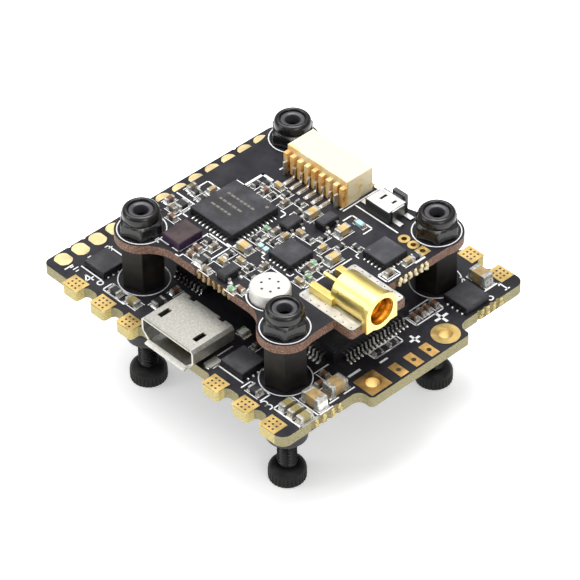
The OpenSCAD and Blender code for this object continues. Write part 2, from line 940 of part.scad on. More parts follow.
module header_pads() {
    color(gold)
        for (x = header_x)
            translate([x, header_y, 0])
                difference() {
                    union() {
                        if (x == header_x[2])
                            block([0, 0], top_top, [1.15, 1.15, foil]);
                        if (x != header_x[2])
                            translate([0, 0, top_top])
                                cylinder(r = 0.6, h = foil);
                        translate([0, 0, top_z])
                            cylinder(r = 0.33, h = top_t);
                        translate([0, 0, top_z - foil])
                            cylinder(r = 0.6, h = foil);
                    }
                    translate([0, 0, top_z - 1])
                        cylinder(r = 0.28, h = top_t + 2);
                }
}

// Tinned ground areas beside the antenna jack
module ground_strips() {
    color(silver) {
        difference() {
            translate([7.5, -6, top_top])
                cube([7.3, 1.55, foil]);
            hole([jack_rear_x - 0.2, jack_y - 1.6], 0.5, top_top - 1, 3);
        }
        translate([8, -1.25, top_top])
            cube([6.8, 2.2, foil]);
    }
}

lower_board();
upper_board();
cap_screws();
rubber_dampers();
hex_spacers();
lock_nuts();
nut_inserts();
usb_shell();
usb_tongue();
usb_contacts();
cable_socket();
cable_socket_contacts();
cable_socket_tabs();
antenna_jack();
jack_insulator();
jack_pin();
microphone_can();
microphone_base();
button_base();
button_cover();
button_spring();
button_plunger();
processor();
processor_leads();
radio_chip();
radio_chip_pads();
radio_amplifier();
video_chip();
control_chip();
small_chip_pads();
driver_chips();
driver_leads();
display_chip();
display_chip_leads();
transistors();
transistor_leads();
motor_fets();
speed_chips();
gyro_chip();
crystal();
bulk_capacitors();
chip_capacitors();
chip_resistors();
chip_inductors();
indicator_leds();
motor_pads();
signal_pads();
battery_pads();
supply_pads();
header_pads();
ground_strips();
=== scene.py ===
"""The looks of the stacked flight controller board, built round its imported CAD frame.

Lengths are in millimetres until a piece is made, and pieces are made in metres.
"""

import math
import random

import bmesh
import bpy
from mathutils import Matrix, Vector


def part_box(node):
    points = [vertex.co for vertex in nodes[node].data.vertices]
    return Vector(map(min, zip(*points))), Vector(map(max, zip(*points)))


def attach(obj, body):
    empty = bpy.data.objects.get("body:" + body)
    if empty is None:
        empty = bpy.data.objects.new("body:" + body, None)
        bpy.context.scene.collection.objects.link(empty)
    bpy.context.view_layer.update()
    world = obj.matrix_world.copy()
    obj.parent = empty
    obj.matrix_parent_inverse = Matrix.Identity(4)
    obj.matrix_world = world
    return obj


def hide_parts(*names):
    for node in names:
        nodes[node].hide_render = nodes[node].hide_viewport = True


MM = 0.001
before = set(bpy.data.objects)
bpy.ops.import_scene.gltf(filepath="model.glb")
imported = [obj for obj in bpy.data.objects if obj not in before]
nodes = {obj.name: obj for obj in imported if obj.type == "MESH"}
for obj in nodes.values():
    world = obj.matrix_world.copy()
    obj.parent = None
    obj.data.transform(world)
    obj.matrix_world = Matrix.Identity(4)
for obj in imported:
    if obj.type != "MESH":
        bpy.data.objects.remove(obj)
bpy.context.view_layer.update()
rng = random.Random(7)

ROOT = "stack"
BUTTON = "button"


# ---------------------------------------------------------------- sizes read from the frame

def box(node):
    """Lowest and highest corner of a CAD node, in millimetres."""
    low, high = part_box(node)
    return low / MM, high / MM


def middle(node):
    low, high = box(node)
    return (low + high) / 2


def islands(node):
    """Boxes (low, high), in millimetres, of the loose solids in a CAD node's mesh."""
    mesh = nodes[node].data
    key = [tuple(round(c / MM, 3) for c in v.co) for v in mesh.vertices]
    parent = {}

    def find(k):
        while parent.setdefault(k, k) != k:
            parent[k] = parent[parent[k]]
            k = parent[k]
        return k

    for face in mesh.polygons:
        first = find(key[face.vertices[0]])
        for i in face.vertices[1:]:
            parent[find(key[i])] = first
    groups = {}
    for k in set(key):
        groups.setdefault(find(k), []).append(k)
    found = []
    for points in groups.values():
        low = Vector([min(p[i] for p in points) for i in range(3)])
        high = Vector([max(p[i] for p in points) for i in range(3)])
        found.append((low, high))
    return sorted(found, key=lambda b: tuple(b[0]))


LOWER_TOP = box("lower_board")[1].z
LOWER_BOTTOM = box("lower_board")[0].z
UPPER_TOP = box("upper_board")[1].z
UPPER_BOTTOM = box("upper_board")[0].z
COLUMNS = [((low + high) / 2).xy for low, high in islands("lock_nuts")]
HEX_TURN = 17         # turn of the nuts' hexagons, in degrees
FILM = 0.03           # thickness of prints and of the dark discs painted as via holes' shade, most of it sunk into their surface
SILK = 0.012          # height of the printed marks over a board
PAD = 0.03            # height of a solder pad over a board
VIA = 0.004           # height over its pad of the dark disc painted as a via hole's shade
RIM_STEPS = 3         # steps of a rounded rim or corner
ROUNDED = 32          # edges of CAD pieces that turn by more than this, in degrees, are rounded
SMOOTH = 35           # edges of finished pieces that turn by less than this look smooth


# ---------------------------------------------------------------- shapes

class Shape:
    """Vertices in millimetres and faces with a material number, gathered into one piece."""

    def __init__(self):
        self.verts = []
        self.faces = []
        self.slots = []

    def loft(self, rings, slot=0, ends="both"):
        """Skin over closed rings of equal length; each ring is a list of points. ends says
        which end rings are filled: "both", "low" or "high". With "loop", the last ring joins
        the first, as in a tube's wall."""
        n = len(rings[0])
        count = len(rings)
        faces = []
        for k in range(count if ends == "loop" else count - 1):
            a = k * n
            b = (k + 1) % count * n
            for i in range(n):
                j = (i + 1) % n
                faces.append((a + i, a + j, b + j, b + i))
        if ends in ("both", "low"):
            faces.append(tuple(reversed(range(n))))
        if ends in ("both", "high"):
            faces.append(tuple(range((count - 1) * n, count * n)))
        base = len(self.verts)
        self.verts += [point for ring in rings for point in ring]
        self.faces += [tuple(base + i for i in face) for face in faces]
        self.slots += [slot] * len(faces)

    def prism(self, outline, low, high, slot=0):
        self.loft([flat_ring(outline, z) for z in (low, high)], slot)

    def soft_box(self, low, high, radius, slot=0, corner=None):
        """Box with rounded upright corners and a rounded rim round its top."""
        corner = corner or radius
        rings = [flat_ring(rounded_rect(low.xy, high.xy, corner), low.z)]
        for k in range(RIM_STEPS + 1):
            a = math.pi / 2 * k / RIM_STEPS
            inset = radius * (1 - math.cos(a))
            shrink = Vector((inset, inset))
            outline = rounded_rect(low.xy + shrink, high.xy - shrink, max(corner - inset, 0.004))
            rings.append(flat_ring(outline, high.z - radius + radius * math.sin(a)))
        self.loft(rings, slot)

    def lathe(self, centre, profile, segments=48, slot=0, ends="both", shaped=None):
        """Turns (radius, z) points about an upright axis. shaped(radius, angle, z, level)
        changes the radius on the way round."""
        rings = []
        for level, (radius, z) in enumerate(profile):
            ring = []
            for a in circle_angles(segments):
                r = shaped(radius, a, z, level) if shaped else radius
                ring.append((centre[0] + r * math.cos(a), centre[1] + r * math.sin(a), z))
            rings.append(ring)
        self.loft(rings, slot, ends)

    def annulus(self, centre, inner, outer, z, segments, start=0.0, sweep=360.0):
        """Thin flat ring, or a part of one, with its upper side at z."""
        full = sweep >= 360
        rings = []
        for i in range(segments if full else segments + 1):
            a = math.radians(start + sweep * i / segments)
            rings.append([
                (centre[0] + r * math.cos(a), centre[1] + r * math.sin(a), level)
                for r, level in ((outer, z), (outer, z - FILM), (inner, z - FILM), (inner, z))
            ])
        self.loft(rings, 0, "loop" if full else "both")

    def disc(self, centre, radius, z, segments):
        """Thin round plate with its upper side at z."""
        self.prism(circle(centre, segments, radius, radius), z - FILM, z)

    def stroke(self, line, width, z):
        """Thin printed line through x, y, x, y and so on, with square corners and its upper
        side at z."""
        points = [Vector(point) for point in zip(line[::2], line[1::2])]
        for a, b in zip(points, points[1:]):
            along = (b - a).normalized() * width / 2
            side = Vector((-along.y, along.x))
            corners = [a - along - side, b + along - side, b + along + side, a - along + side]
            self.prism([c[:] for c in corners], z - FILM, z)

    def dome(self, centre, rx, ry, height, z, segments, power=0.5):
        """Low rounded mound, such as a drop of solder."""
        rings = []
        for k in range(5):
            t = math.pi / 2 * k / 4
            r = math.cos(0.94 * t)
            outline = circle(centre, segments, rx * r, ry * r)
            rings.append(flat_ring(outline, z + height * math.sin(t) ** (2 * power)))
        self.loft(rings)

    def ramp(self, origin, direction, width, length, height, z, slot=0):
        """Solder fillet that falls from a part's end to its pad, along direction."""
        along = Vector(direction).normalized()
        side = Vector((-along.y, along.x))
        rings = []
        for t, h in ((0.0, 1.0), (0.22, 0.62), (0.5, 0.3), (1.0, 0.05)):
            crest = (t, width / 2 * (1 - 0.12 * t), z + height * h)
            foot = (1.06 * t, width / 2 * (1 + 0.1 * math.sin(math.pi * t)), z)
            ring = []
            for (reach, half, level), sign in ((crest, 1), (crest, -1), (foot, -1), (foot, 1)):
                point = Vector(origin) + along * length * reach + side * half * sign
                ring.append((*point, level))
            rings.append(ring)
        self.loft(rings, slot)

    def piece(self, name, materials, replaces=(), smooth=SMOOTH):
        """Makes the Blender object, in metres, and ties it to the frame."""
        mesh = bpy.data.meshes.new(name)
        mesh.from_pydata([tuple(c * MM for c in v) for v in self.verts], [], self.faces)
        for material in materials:
            mesh.materials.append(material)
        mesh.polygons.foreach_set("material_index", self.slots)
        mesh.validate()
        make_piece(name, mesh, ROOT, replaces, smooth)


def circle_angles(count):
    return [2 * math.pi * i / count for i in range(count)]


def circle(centre, count, rx, ry):
    """Outline of an ellipse, anticlockwise."""
    return [(centre[0] + rx * math.cos(a), centre[1] + ry * math.sin(a)) for a in circle_angles(count)]


def rounded_rect(low, high, radius):
    """Outline of a rectangle with rounded corners, anticlockwise."""
    radius = min(radius, (high[0] - low[0]) / 2.01, (high[1] - low[1]) / 2.01)
    points = []
    for quarter, (right, upper) in enumerate(((1, 1), (0, 1), (0, 0), (1, 0))):
        x = high[0] - radius if right else low[0] + radius
        y = high[1] - radius if upper else low[1] + radius
        for k in range(RIM_STEPS + 1):
            a = math.pi / 2 * (quarter + k / RIM_STEPS)
            points.append((x + radius * math.cos(a), y + radius * math.sin(a)))
    return points


def flat_ring(outline, z):
    return [(x, y, z) for x, y in outline]


def weigh_normals(mesh, limit):
    """Corner normals weighted by face area, so that broad faces stay flat up to their
    rounded rims. Faces that meet at more than limit degrees keep a hard edge."""
    normals = [f.normal.copy() for f in mesh.polygons]
    areas = [f.area for f in mesh.polygons]
    around = [[] for _ in mesh.vertices]
    for f in mesh.polygons:
        for v in f.vertices:
            around[v].append(f.index)
    closest = math.cos(math.radians(limit))
    corners = []
    for f in mesh.polygons:
        own = normals[f.index]
        for v in f.vertices:
            total = Vector((0, 0, 0))
            for g in around[v]:
                if normals[g].dot(own) >= closest:
                    total += normals[g] * areas[g]
            corners.append(total.normalized() if total.length > 0 else own)
    mesh.normals_split_custom_set(corners)


def make_piece(name, mesh, body, replaces, smooth):
    mesh.shade_smooth()
    mesh.set_sharp_from_angle(angle=math.radians(smooth))
    weigh_normals(mesh, smooth)
    obj = bpy.data.objects.new(name, mesh)
    bpy.context.scene.collection.objects.link(obj)
    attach(obj, body)
    if replaces:
        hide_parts(*replaces)


def cad_piece(node, slot, bevel, *materials, name=None, segments=2, pick=None, body=ROOT):
    """Welded copy of a CAD node with edges rounded by bevel. pick(face) gives a face's
    material number; the face is in millimetres."""
    name = name or node + "_dressed"
    bm = bmesh.new()
    bm.from_mesh(nodes[node].data)
    bmesh.ops.scale(bm, vec=(1 / MM, 1 / MM, 1 / MM), verts=bm.verts)
    bmesh.ops.remove_doubles(bm, verts=bm.verts, dist=0.0008)
    bmesh.ops.dissolve_limit(bm, angle_limit=0.008, verts=bm.verts, edges=bm.edges)
    bmesh.ops.recalc_face_normals(bm, faces=bm.faces)
    bm.normal_update()
    for face in bm.faces:
        face.material_index = pick(face) if pick else 0
    sharp = [
        e for e in bm.edges
        if len(e.link_faces) == 2 and e.calc_face_angle(0.0) > math.radians(ROUNDED)
    ]
    bmesh.ops.bevel(
        bm, geom=sharp, offset=bevel, segments=segments, affect="EDGES", profile=0.5,
        clamp_overlap=True, material=-1,
    )
    bmesh.ops.scale(bm, vec=(MM, MM, MM), verts=bm.verts)
    mesh = bpy.data.meshes.new(name)
    bm.to_mesh(mesh)
    bm.free()
    custom = mesh.attributes.get("custom_normal")
    if custom:
        mesh.attributes.remove(custom)
    for material in materials:
        mesh.materials.append(material)
    make_piece(name, mesh, body, (node,), SMOOTH)


# ---------------------------------------------------------------- materials

class Paint:
    """One procedural material. Its texture space is the part's own, in millimetres."""

    def __init__(self, name):
        self.material = bpy.data.materials.new(name)
        self.material.use_nodes = True
        self.tree = self.material.node_tree
        self.tree.nodes.clear()
        self.shader = self.node("ShaderNodeBsdfPrincipled")
        output = self.node("ShaderNodeOutputMaterial")
        self.link(self.shader.outputs[0], output.inputs["Surface"])
        coordinates = self.node("ShaderNodeTexCoord")
        scale = self.node("ShaderNodeMapping")
        scale.inputs["Scale"].default_value = (1 / MM, 1 / MM, 1 / MM)
        self.link(coordinates.outputs["Object"], scale.inputs["Vector"])
        self.space = scale.outputs["Vector"]

    def node(self, kind, **settings):
        made = self.tree.nodes.new(kind)
        for key, value in settings.items():
            setattr(made, key, value)
        return made

    def link(self, source, target):
        self.tree.links.new(source, target)

    def stretch(self, scale, turn=0):
        """Texture space stretched along its axes and turned about Z."""
        mapping = self.node("ShaderNodeMapping")
        mapping.inputs["Scale"].default_value = scale
        mapping.inputs["Rotation"].default_value = (0, 0, math.radians(turn))
        self.link(self.space, mapping.inputs["Vector"])
        return mapping.outputs["Vector"]

    def texture(self, made, output, space, **values):
        for key, value in values.items():
            made.inputs[key].default_value = value
        self.link(space or self.space, made.inputs["Vector"])
        return made.outputs[output]

    def noise(self, scale, detail=4.0, roughness=0.55, space=None, distortion=0.0):
        return self.texture(self.node("ShaderNodeTexNoise"), "Fac", space, Scale=scale,
                            Detail=detail, Roughness=roughness, Distortion=distortion)

    def axis(self, letter, vector=None):
        """One coordinate of the texture space, or of another vector."""
        axes = self.node("ShaderNodeSeparateXYZ")
        self.link(vector or self.space, axes.inputs[0])
        return axes.outputs[letter]

    def facing(self, letter, low, high):
        """From 0 to 1 as the surface's normal, along an axis, goes from low to high."""
        normal = self.node("ShaderNodeNewGeometry").outputs["Normal"]
        return self.span(self.axis(letter, normal), 0.0, 1.0, low, high)

    def ramp(self, factor, stops):
        """Colours at places from 0 to 1."""
        ramp = self.node("ShaderNodeValToRGB")
        set_stops(ramp, stops)
        self.link(factor, ramp.inputs["Fac"])
        return ramp.outputs["Color"]

    def span(self, factor, low, high, start=0.0, end=1.0):
        """Factor, from start to end, turned into a number from low to high."""
        turned = self.node("ShaderNodeMapRange")
        for key, value in (("From Min", start), ("From Max", end), ("To Min", low), ("To Max", high)):
            turned.inputs[key].default_value = value
        self.link(factor, turned.inputs["Value"])
        return turned.outputs["Result"]

    def blend(self, factor, a, b):
        mixed = self.node("ShaderNodeMix", data_type="RGBA")
        self.link(factor, mixed.inputs["Factor"])
        # the colour sockets share the names A and B with the number sockets
        self.link(a, mixed.inputs[6])
        self.link(b, mixed.inputs[7])
        return mixed.outputs[2]

    def product(self, a, b):
        made = self.node("ShaderNodeMath", operation="MULTIPLY")
        self.link(a, made.inputs[0])
        self.link(b, made.inputs[1])
        return made.outputs[0]

    def sum(self, a, b, share):
        """a plus share times b."""
        added = self.node("ShaderNodeMath", operation="MULTIPLY_ADD")
        self.link(b, added.inputs[0])
        added.inputs[1].default_value = share
        self.link(a, added.inputs[2])
        return added.outputs[0]

    def finish(self, tone, stops, rough, bump, rough_by=None, **fixed):
        """Last steps of a material: colours along tone; roughness, as numbers for span; bump,
        as a height, its depth in millimetres and its strength; and constants on the shader's
        own sockets, with underscores for spaces."""
        if stops:
            self.link(self.ramp(tone, stops), self.shader.inputs["Base Color"])
        self.link(self.span(rough_by or tone, *rough), self.shader.inputs["Roughness"])
        height, depth, strength = bump
        relief = self.node("ShaderNodeBump")
        relief.inputs["Strength"].default_value = strength
        relief.inputs["Distance"].default_value = depth * MM
        self.link(height, relief.inputs["Height"])
        self.link(relief.outputs["Normal"], self.shader.inputs["Normal"])
        for key, value in fixed.items():
            self.shader.inputs[key.replace("_", " ")].default_value = value
        return self.material


def set_stops(ramp, stops):
    elements = ramp.color_ramp.elements
    while len(elements) < len(stops):
        elements.new(0.5)
    for element, (place, colour) in zip(elements, stops):
        element.position = place
        element.color = (*colour, 1.0)


def shade(colour, factor):
    return tuple(min(1.0, c * factor) for c in colour)


def tones(colour, *steps):
    """Ramp stops that are shades of one colour, from (place, factor) steps."""
    return [(place, shade(colour, factor)) for place, factor in steps]


def worn_surface(name, colour, rough, metallic=0.0, variation=0.2, coarse=0.6, fine=9.0,
                 depth=0.004, **fixed):
    """Base of most materials: mottled colour, uneven roughness and a fine grain."""
    paint = Paint(name)
    patches = paint.noise(coarse, 5)
    grain = paint.noise(fine, 3)
    return paint.finish(
        paint.sum(patches, grain, 0.35),
        tones(colour, (0.35, 1 - variation), (0.62, 1), (0.92, 1 + variation)),
        (max(0.03, rough - 0.08), min(1.0, rough + 0.1), 0.35, 0.95), (grain, depth, 1.0),
        Metallic=metallic, **fixed)


def solder_mask():
    """Charcoal lacquer over copper: faint tracks and pours show through as relief."""
    paint = Paint("solder_mask")
    dust = paint.noise(24.0, 2)
    tracks = paint.texture(paint.node("ShaderNodeTexVoronoi", distance="MANHATTAN"), "Distance",
                           paint.stretch((1, 1, 0.001), 45), Scale=0.9, Randomness=0.75)
    edge = paint.span(tracks, 0.0, 1.0, 0.42, 0.46)
    tone = paint.sum(paint.sum(paint.noise(0.35, 6), dust, 0.22), edge, 0.1)
    return paint.finish(tone, [
        (0.3, (0.0055, 0.0053, 0.0075)), (0.6, (0.0112, 0.0107, 0.0145)), (0.95, (0.025, 0.024, 0.029)),
    ], (0.30, 0.46, 0.35, 0.95), (paint.sum(edge, dust, 0.25), 0.012, 0.6), Specular_IOR_Level=0.27)


def laminate(name, light, dark, layers=4.5, speck=0.3, fleck=2.0):
    """Cut edge of a circuit board: glass layers, resin, pale fibre specks and routing marks."""
    paint = Paint(name)
    sheets = paint.texture(paint.node("ShaderNodeTexWave", bands_direction="Z"), "Fac", None,
                           Scale=layers, Distortion=1.6, Detail=3)
    fibres = paint.noise(3.2, 7, 0.75, paint.stretch((1.6, 1.6, 4.0)))
    cut = paint.noise(11.0, 3, 0.7, paint.stretch((1, 1, 0.5)))
    lift = 0.5 * (speck - 0.3)
    return paint.finish(paint.sum(paint.sum(fibres, sheets, 0.12), cut, speck), [
        (0.50 + lift, dark), (0.66 + lift, light), (0.76 + lift, shade(light, 1.35)),
        (0.88 + lift, shade(light, fleck)),
    ], (0.42, 0.75), (paint.sum(cut, fibres, 0.8), 0.05, 0.8), cut)


def plating(name, colour, rough, variation, depth=0.006):
    """Gold flash or tin: soft waves, fine pits and a few duller patches."""
    paint = Paint(name)
    patches = paint.noise(0.9, 5)
    pits = paint.noise(18.0, 2)
    scratches = paint.noise(5.0, 3, space=paint.stretch((0.3, 6.0, 1.0), 28))
    return paint.finish(
        paint.sum(patches, scratches, 0.25),
        tones(colour, (0.35, 1 - variation), (0.62, 1), (0.9, 1 + variation * 0.7)),
        (rough - 0.08, rough + 0.12, 0.4, 0.9), (paint.sum(pits, scratches, 0.6), depth, 0.5),
        paint.sum(patches, pits, 0.3), Metallic=1.0)


def terminal():
    """Tin-plated end caps: matte silver grey with brighter scuffs."""
    paint = Paint("part_terminal")
    tone = paint.sum(paint.noise(3.5, 5, 0.65), paint.noise(20.0, 2), 0.3)
    return paint.finish(tone, [
        (0.42, (0.17, 0.16, 0.145)), (0.64, (0.42, 0.41, 0.38)), (0.9, (0.72, 0.71, 0.67)),
    ], (0.3, 0.55, 0.4, 0.95), (tone, 0.03, 0.5), Metallic=0.75)


def solder():
    """Reflowed solder: bright, lumpy, with grey flux-dulled patches."""
    paint = Paint("solder")
    lumps = paint.noise(2.6, 4, distortion=0.4)
    grain = paint.noise(16.0, 2)
    return paint.finish(paint.sum(lumps, grain, 0.25), [
        (0.38, (0.30, 0.29, 0.26)), (0.58, (0.68, 0.67, 0.63)), (0.8, (0.93, 0.92, 0.89)),
    ], (0.18, 0.42, 0.35, 0.95), (paint.sum(lumps, grain, 0.2), 0.05, 0.55), Metallic=0.9)


def stamped_steel():
    """Nickel-plated sheet: fine rolled grain, mottled dulling and small rubs."""
    paint = Paint("stamped_steel")
    rolled = paint.noise(6.0, 3, space=paint.stretch((0.4, 5.0, 1.0)))
    specks = paint.noise(30.0, 1)
    tone = paint.sum(paint.sum(paint.noise(4.5, 6, 0.65), rolled, 0.18), specks, 0.14)
    return paint.finish(tone, [
        (0.42, (0.34, 0.33, 0.295)), (0.66, (0.47, 0.46, 0.42)), (0.92, (0.62, 0.61, 0.57)),
    ], (0.38, 0.52, 0.4, 0.95), (paint.sum(rolled, specks, 0.5), 0.006, 0.5), Metallic=1.0)


def ivory():
    """Nylon moulding: slightly see-through, with soft flow marks, painted shade that turns its
    ribbed front and its foot amber, a painted lighter top, and darker blotches on its +X end."""
    paint = Paint("ivory_plastic")
    skin = paint.noise(14.0, 2)
    low, high = box("cable_socket")
    # painted shade and light: faces near the ribbed front and near the foot are darker and more amber, the
    # top is lighter
    depth = paint.span(paint.axis("Y"), 0.0, 1.0, low.y + 0.4, low.y + 1.2)
    height = paint.span(paint.axis("Z"), 0.0, 1.0, low.z, high.z - 0.3)
    end_blotches = paint.span(paint.noise(1.7, 7, 0.7), 0.0, 1.0, 0.46, 0.64)
    lit = paint.sum(paint.sum(paint.noise(0.8, 4, distortion=0.6), skin, 0.25), depth, 0.40)
    # darker blotches on the faces turned towards +X
    lit = paint.sum(paint.sum(lit, height, 0.18), paint.product(paint.facing("X", 0.4, 0.8), end_blotches), -0.34)
    return paint.finish(lit, [
        (0.42, (0.42, 0.17, 0.03)), (0.68, (0.78, 0.45, 0.13)), (0.86, (0.78, 0.61, 0.31)),
        (1.0, (0.80, 0.71, 0.48)),
    ], (0.32, 0.5), (skin, 0.006, 0.5), skin, Subsurface_Weight=0.25, Subsurface_Scale=0.6 * MM,
        Subsurface_Radius=(1.0, 0.6, 0.3))


def chip_resin(name="chip_resin", colour=(0.030, 0.0296, 0.0338), speck=1.0, side=(0.009, 0.009, 0.011)):
    """Moulded epoxy: matte, finely pitted, with tiny pale grains of filler; the sides take the darker side
    colour as painted shade.
    """
    paint = Paint(name)
    filler = paint.noise(11.0, 3, 0.75)
    tone = paint.sum(paint.noise(0.5, 4), filler, 0.5 * speck)
    top = paint.ramp(tone, tones(colour, (0.45, 0.7), (0.72, 1), (1.0, 2.2)))
    # the side colour, used on faces that do not look up, is painted shade
    shaded_flank = paint.ramp(tone, tones(side, (0.45, 0.7), (0.72, 1), (1.0, 1.8)))
    paint.link(paint.blend(paint.facing("Z", 0.5, 0.9), shaded_flank, top), paint.shader.inputs["Base Color"])
    return paint.finish(tone, None, (0.40, 0.6), (filler, 0.008, 0.6), filler, Specular_IOR_Level=0.3)


def ceramic(name, colour, rough=0.42):
    """Fired ceramic: chalky grain and small darker pores."""
    paint = Paint(name)
    tone = paint.sum(paint.noise(1.6, 5), paint.noise(12.0, 3), 0.4)
    return paint.finish(tone, tones(colour, (0.42, 0.62), (0.68, 1), (1.0, 1.35)),
                        (rough - 0.1, rough + 0.12, 0.4, 1.0), (tone, 0.01, 0.6))


def dark_surface(name, cloud, grain, share, stops, rough, depth, **fixed):
    """Black surface of cloudy tone and finer grain. cloud and grain are numbers for
    Paint.noise; grain may end with the stretch of its marks."""
    paint = Paint(name)
    marks = paint.noise(*grain[:2], space=paint.stretch(grain[2]) if grain[2:] else None)
    return paint.finish(paint.sum(paint.noise(*cloud), marks, share), stops, (*rough, 0.4, 0.95),
                        (marks, depth, 0.5), **fixed)


def black_steel(name, rough, specular):
    """Black-oxide steel: oily sheen, brown cast and lighter rubs."""
    return dark_surface(name, (1.3, 6, 0.65), (7.0, 3, (1, 1, 5.0)), 0.25, [
        (0.4, (0.0045, 0.0042, 0.0042)), (0.68, (0.009, 0.0084, 0.0080)), (0.95, (0.026, 0.023, 0.021)),
    ], (rough, rough + 0.2), 0.008, Metallic=0.1, Specular_IOR_Level=specular)


MASK = solder_mask()
EDGE_OLIVE = laminate("laminate_olive", (0.225, 0.200, 0.095), (0.085, 0.075, 0.034))
EDGE_BROWN = laminate("laminate_brown", (0.105, 0.054, 0.034), (0.020, 0.010, 0.007), 5.5, 0.6, 4.5)
EDGE_GOLD = laminate("laminate_gilded", (0.42, 0.35, 0.13), (0.25, 0.20, 0.07), 3.5)
TORN = laminate("laminate_torn", (0.52, 0.42, 0.17), (0.20, 0.13, 0.04), 7.0, 0.5)
PALE_TORN = laminate("laminate_torn_pale", (0.66, 0.58, 0.38), (0.20, 0.11, 0.05), 9.0, 0.6)
BRONZE_TORN = laminate("laminate_torn_bronze", (0.30, 0.20, 0.09), (0.045, 0.026, 0.012), 9.0, 0.6)
OLIVE_PIT = laminate("laminate_olive_pit", (0.20, 0.165, 0.062), (0.075, 0.055, 0.020), 7.0, 0.5)
TORN_PIT = laminate("laminate_torn_pit", (0.075, 0.045, 0.018), (0.020, 0.011, 0.006), 7.0, 0.5)
GOLD = plating("gold_plate", (0.96, 0.70, 0.26), 0.24, 0.10)
JACK_GOLD = plating("jack_gold", (1.0, 0.80, 0.27), 0.32, 0.03, 0.0015)
BORE_GOLD = plating("bore_gold", (1.0, 0.58, 0.13), 0.24, 0.25)
PAD_GOLD = plating("pad_gold", (0.72, 0.52, 0.20), 0.38, 0.16)
PALE_GOLD = plating("pale_gold", (0.92, 0.74, 0.40), 0.38, 0.12)
DEEP_GOLD = plating("deep_gold", (0.78, 0.48, 0.17), 0.36, 0.30)
SOLDER = solder()
TERMINAL = terminal()
TINNED = plating("tinned_lead", (0.70, 0.69, 0.65), 0.24, 0.12, 0.003)
BRIGHT_TIN = plating("bright_tin", (0.93, 0.92, 0.89), 0.38, 0.06, 0.004)
GROUND_TIN = plating("ground_tin", (0.50, 0.49, 0.465), 0.50, 0.42, 0.03)
# darker copy of the tin: painted shade for the button cover's sides
SHADED_TIN = plating("shaded_tin_sides", (0.24, 0.235, 0.22), 0.36, 0.3, 0.006)
STEEL = stamped_steel()
IVORY = ivory()
RESIN = chip_resin()
PALE_RESIN = chip_resin("pale_resin", (0.041, 0.040, 0.047), 0.9)
# the last colour in these two calls is the painted shade of the package sides
DARK_RESIN = chip_resin("dark_resin", (0.009, 0.009, 0.012), 0.6, (0.004, 0.004, 0.006))
BROWN_RESIN = chip_resin("brown_resin", (0.034, 0.023, 0.024), 1.3, (0.020, 0.006, 0.026))
TAN = ceramic("tan_ceramic", (0.34, 0.235, 0.10))
PALE_TAN = ceramic("pale_tan_ceramic", (0.47, 0.33, 0.13))
OLIVE_TAN = ceramic("olive_tan_ceramic", (0.24, 0.20, 0.075))
BROWN = ceramic("brown_ceramic", (0.15, 0.072, 0.035))
BLACK_CERAMIC = ceramic("black_ceramic", (0.022, 0.022, 0.025), 0.34)
GREY_TAN = ceramic("grey_tan_ceramic", (0.15, 0.118, 0.080))
GREEN = ceramic("green_ceramic", (0.10, 0.33, 0.12))
# clear cyan lamp body
LENS = worn_surface("led_lens", (0.36, 0.64, 0.74), 0.25, variation=0.25, coarse=2.0, fine=8.0,
                    Coat_Weight=0.4, Coat_Roughness=0.1)
# moulded silicone: matte with a dusty bloom
RUBBER = dark_surface("black_rubber", (0.8, 6), (20.0, 2), 0.3, [
    (0.4, (0.007, 0.007, 0.0075)), (0.7, (0.014, 0.014, 0.015)), (0.95, (0.030, 0.030, 0.031)),
], (0.5, 0.72), 0.01, Sheen_Weight=0.1)
# turned spacer: fine lengthwise draw marks and a warm cast
NYLON = dark_surface("black_nylon", (0.7, 4), (5.0, 4, (3.0, 3.0, 0.25)), 0.35, [
    (0.4, (0.0038, 0.0034, 0.0032)), (0.68, (0.0075, 0.0062, 0.0055)), (0.95, (0.022, 0.015, 0.011)),
], (0.34, 0.52), 0.01, Specular_IOR_Level=0.2)
BLACK = black_steel("black_steel", 0.42, 0.3)
NUT_BLACK = black_steel("nut_black", 0.15, 0.5)
INSERT = worn_surface("nylon_insert", (0.050, 0.048, 0.055), 0.3, variation=0.25, fine=14.0)
BLACK_PLASTIC = worn_surface("black_plastic", (0.014, 0.014, 0.015), 0.42, variation=0.3, fine=15.0)
GREY_PLASTIC = worn_surface("grey_plastic", (0.060, 0.060, 0.064), 0.4, variation=0.25, fine=15.0)
INSULATOR = worn_surface("white_insulator", (0.74, 0.70, 0.60), 0.4, variation=0.1)
SILKSCREEN = worn_surface("silkscreen_ink", (0.72, 0.72, 0.72), 0.55, variation=0.22, coarse=3.5,
                          fine=22.0, depth=0.006)
MIC_METAL = worn_surface("microphone_metal", (0.60, 0.585, 0.55), 0.46, metallic=0.35, variation=0.06,
                         coarse=0.5, fine=12.0)
# dark brown discs painted over the pads as the shade inside open via holes
HOLE_SHADE = worn_surface("via_hole_shade", (0.030, 0.014, 0.006), 0.6, variation=0.5, fine=20.0)
LED_BODY = worn_surface("lamp_body", (0.82, 0.82, 0.74), 0.25, variation=0.2, coarse=3.0)
VOID = worn_surface("dark_opening", (0.010, 0.010, 0.011), 0.8, variation=0.3)
LASER_MARK = worn_surface("laser_mark", (0.13, 0.12, 0.10), 0.6, variation=0.4, coarse=5.0, fine=20.0)


# ---------------------------------------------------------------- boards

PAD_BOXES = islands("motor_pads")
POWER_EDGE = box("lower_board")[1].x - 1.7
TOP_EDGE = box("upper_board")[1].x - 2.4
# half holes of the snapped panel webs: place, and the step to the next one
LOWER_BITES = (
    [(POWER_EDGE + 0.1, -12.25 + i, 0, 1.0) for i in range(4)]
    + [(POWER_EDGE + 0.1, 9.8 + 0.85 * i, 0, 0.85) for i in range(4)]
)
UPPER_BITES = (
    [(-1.9 + 0.7 * i, -10.4, 0.7, 0) for i in range(7)]
    + [(TOP_EDGE + 0.12, 2.2 + 0.7 * i, 0, 0.7) for i in range(6)]
)


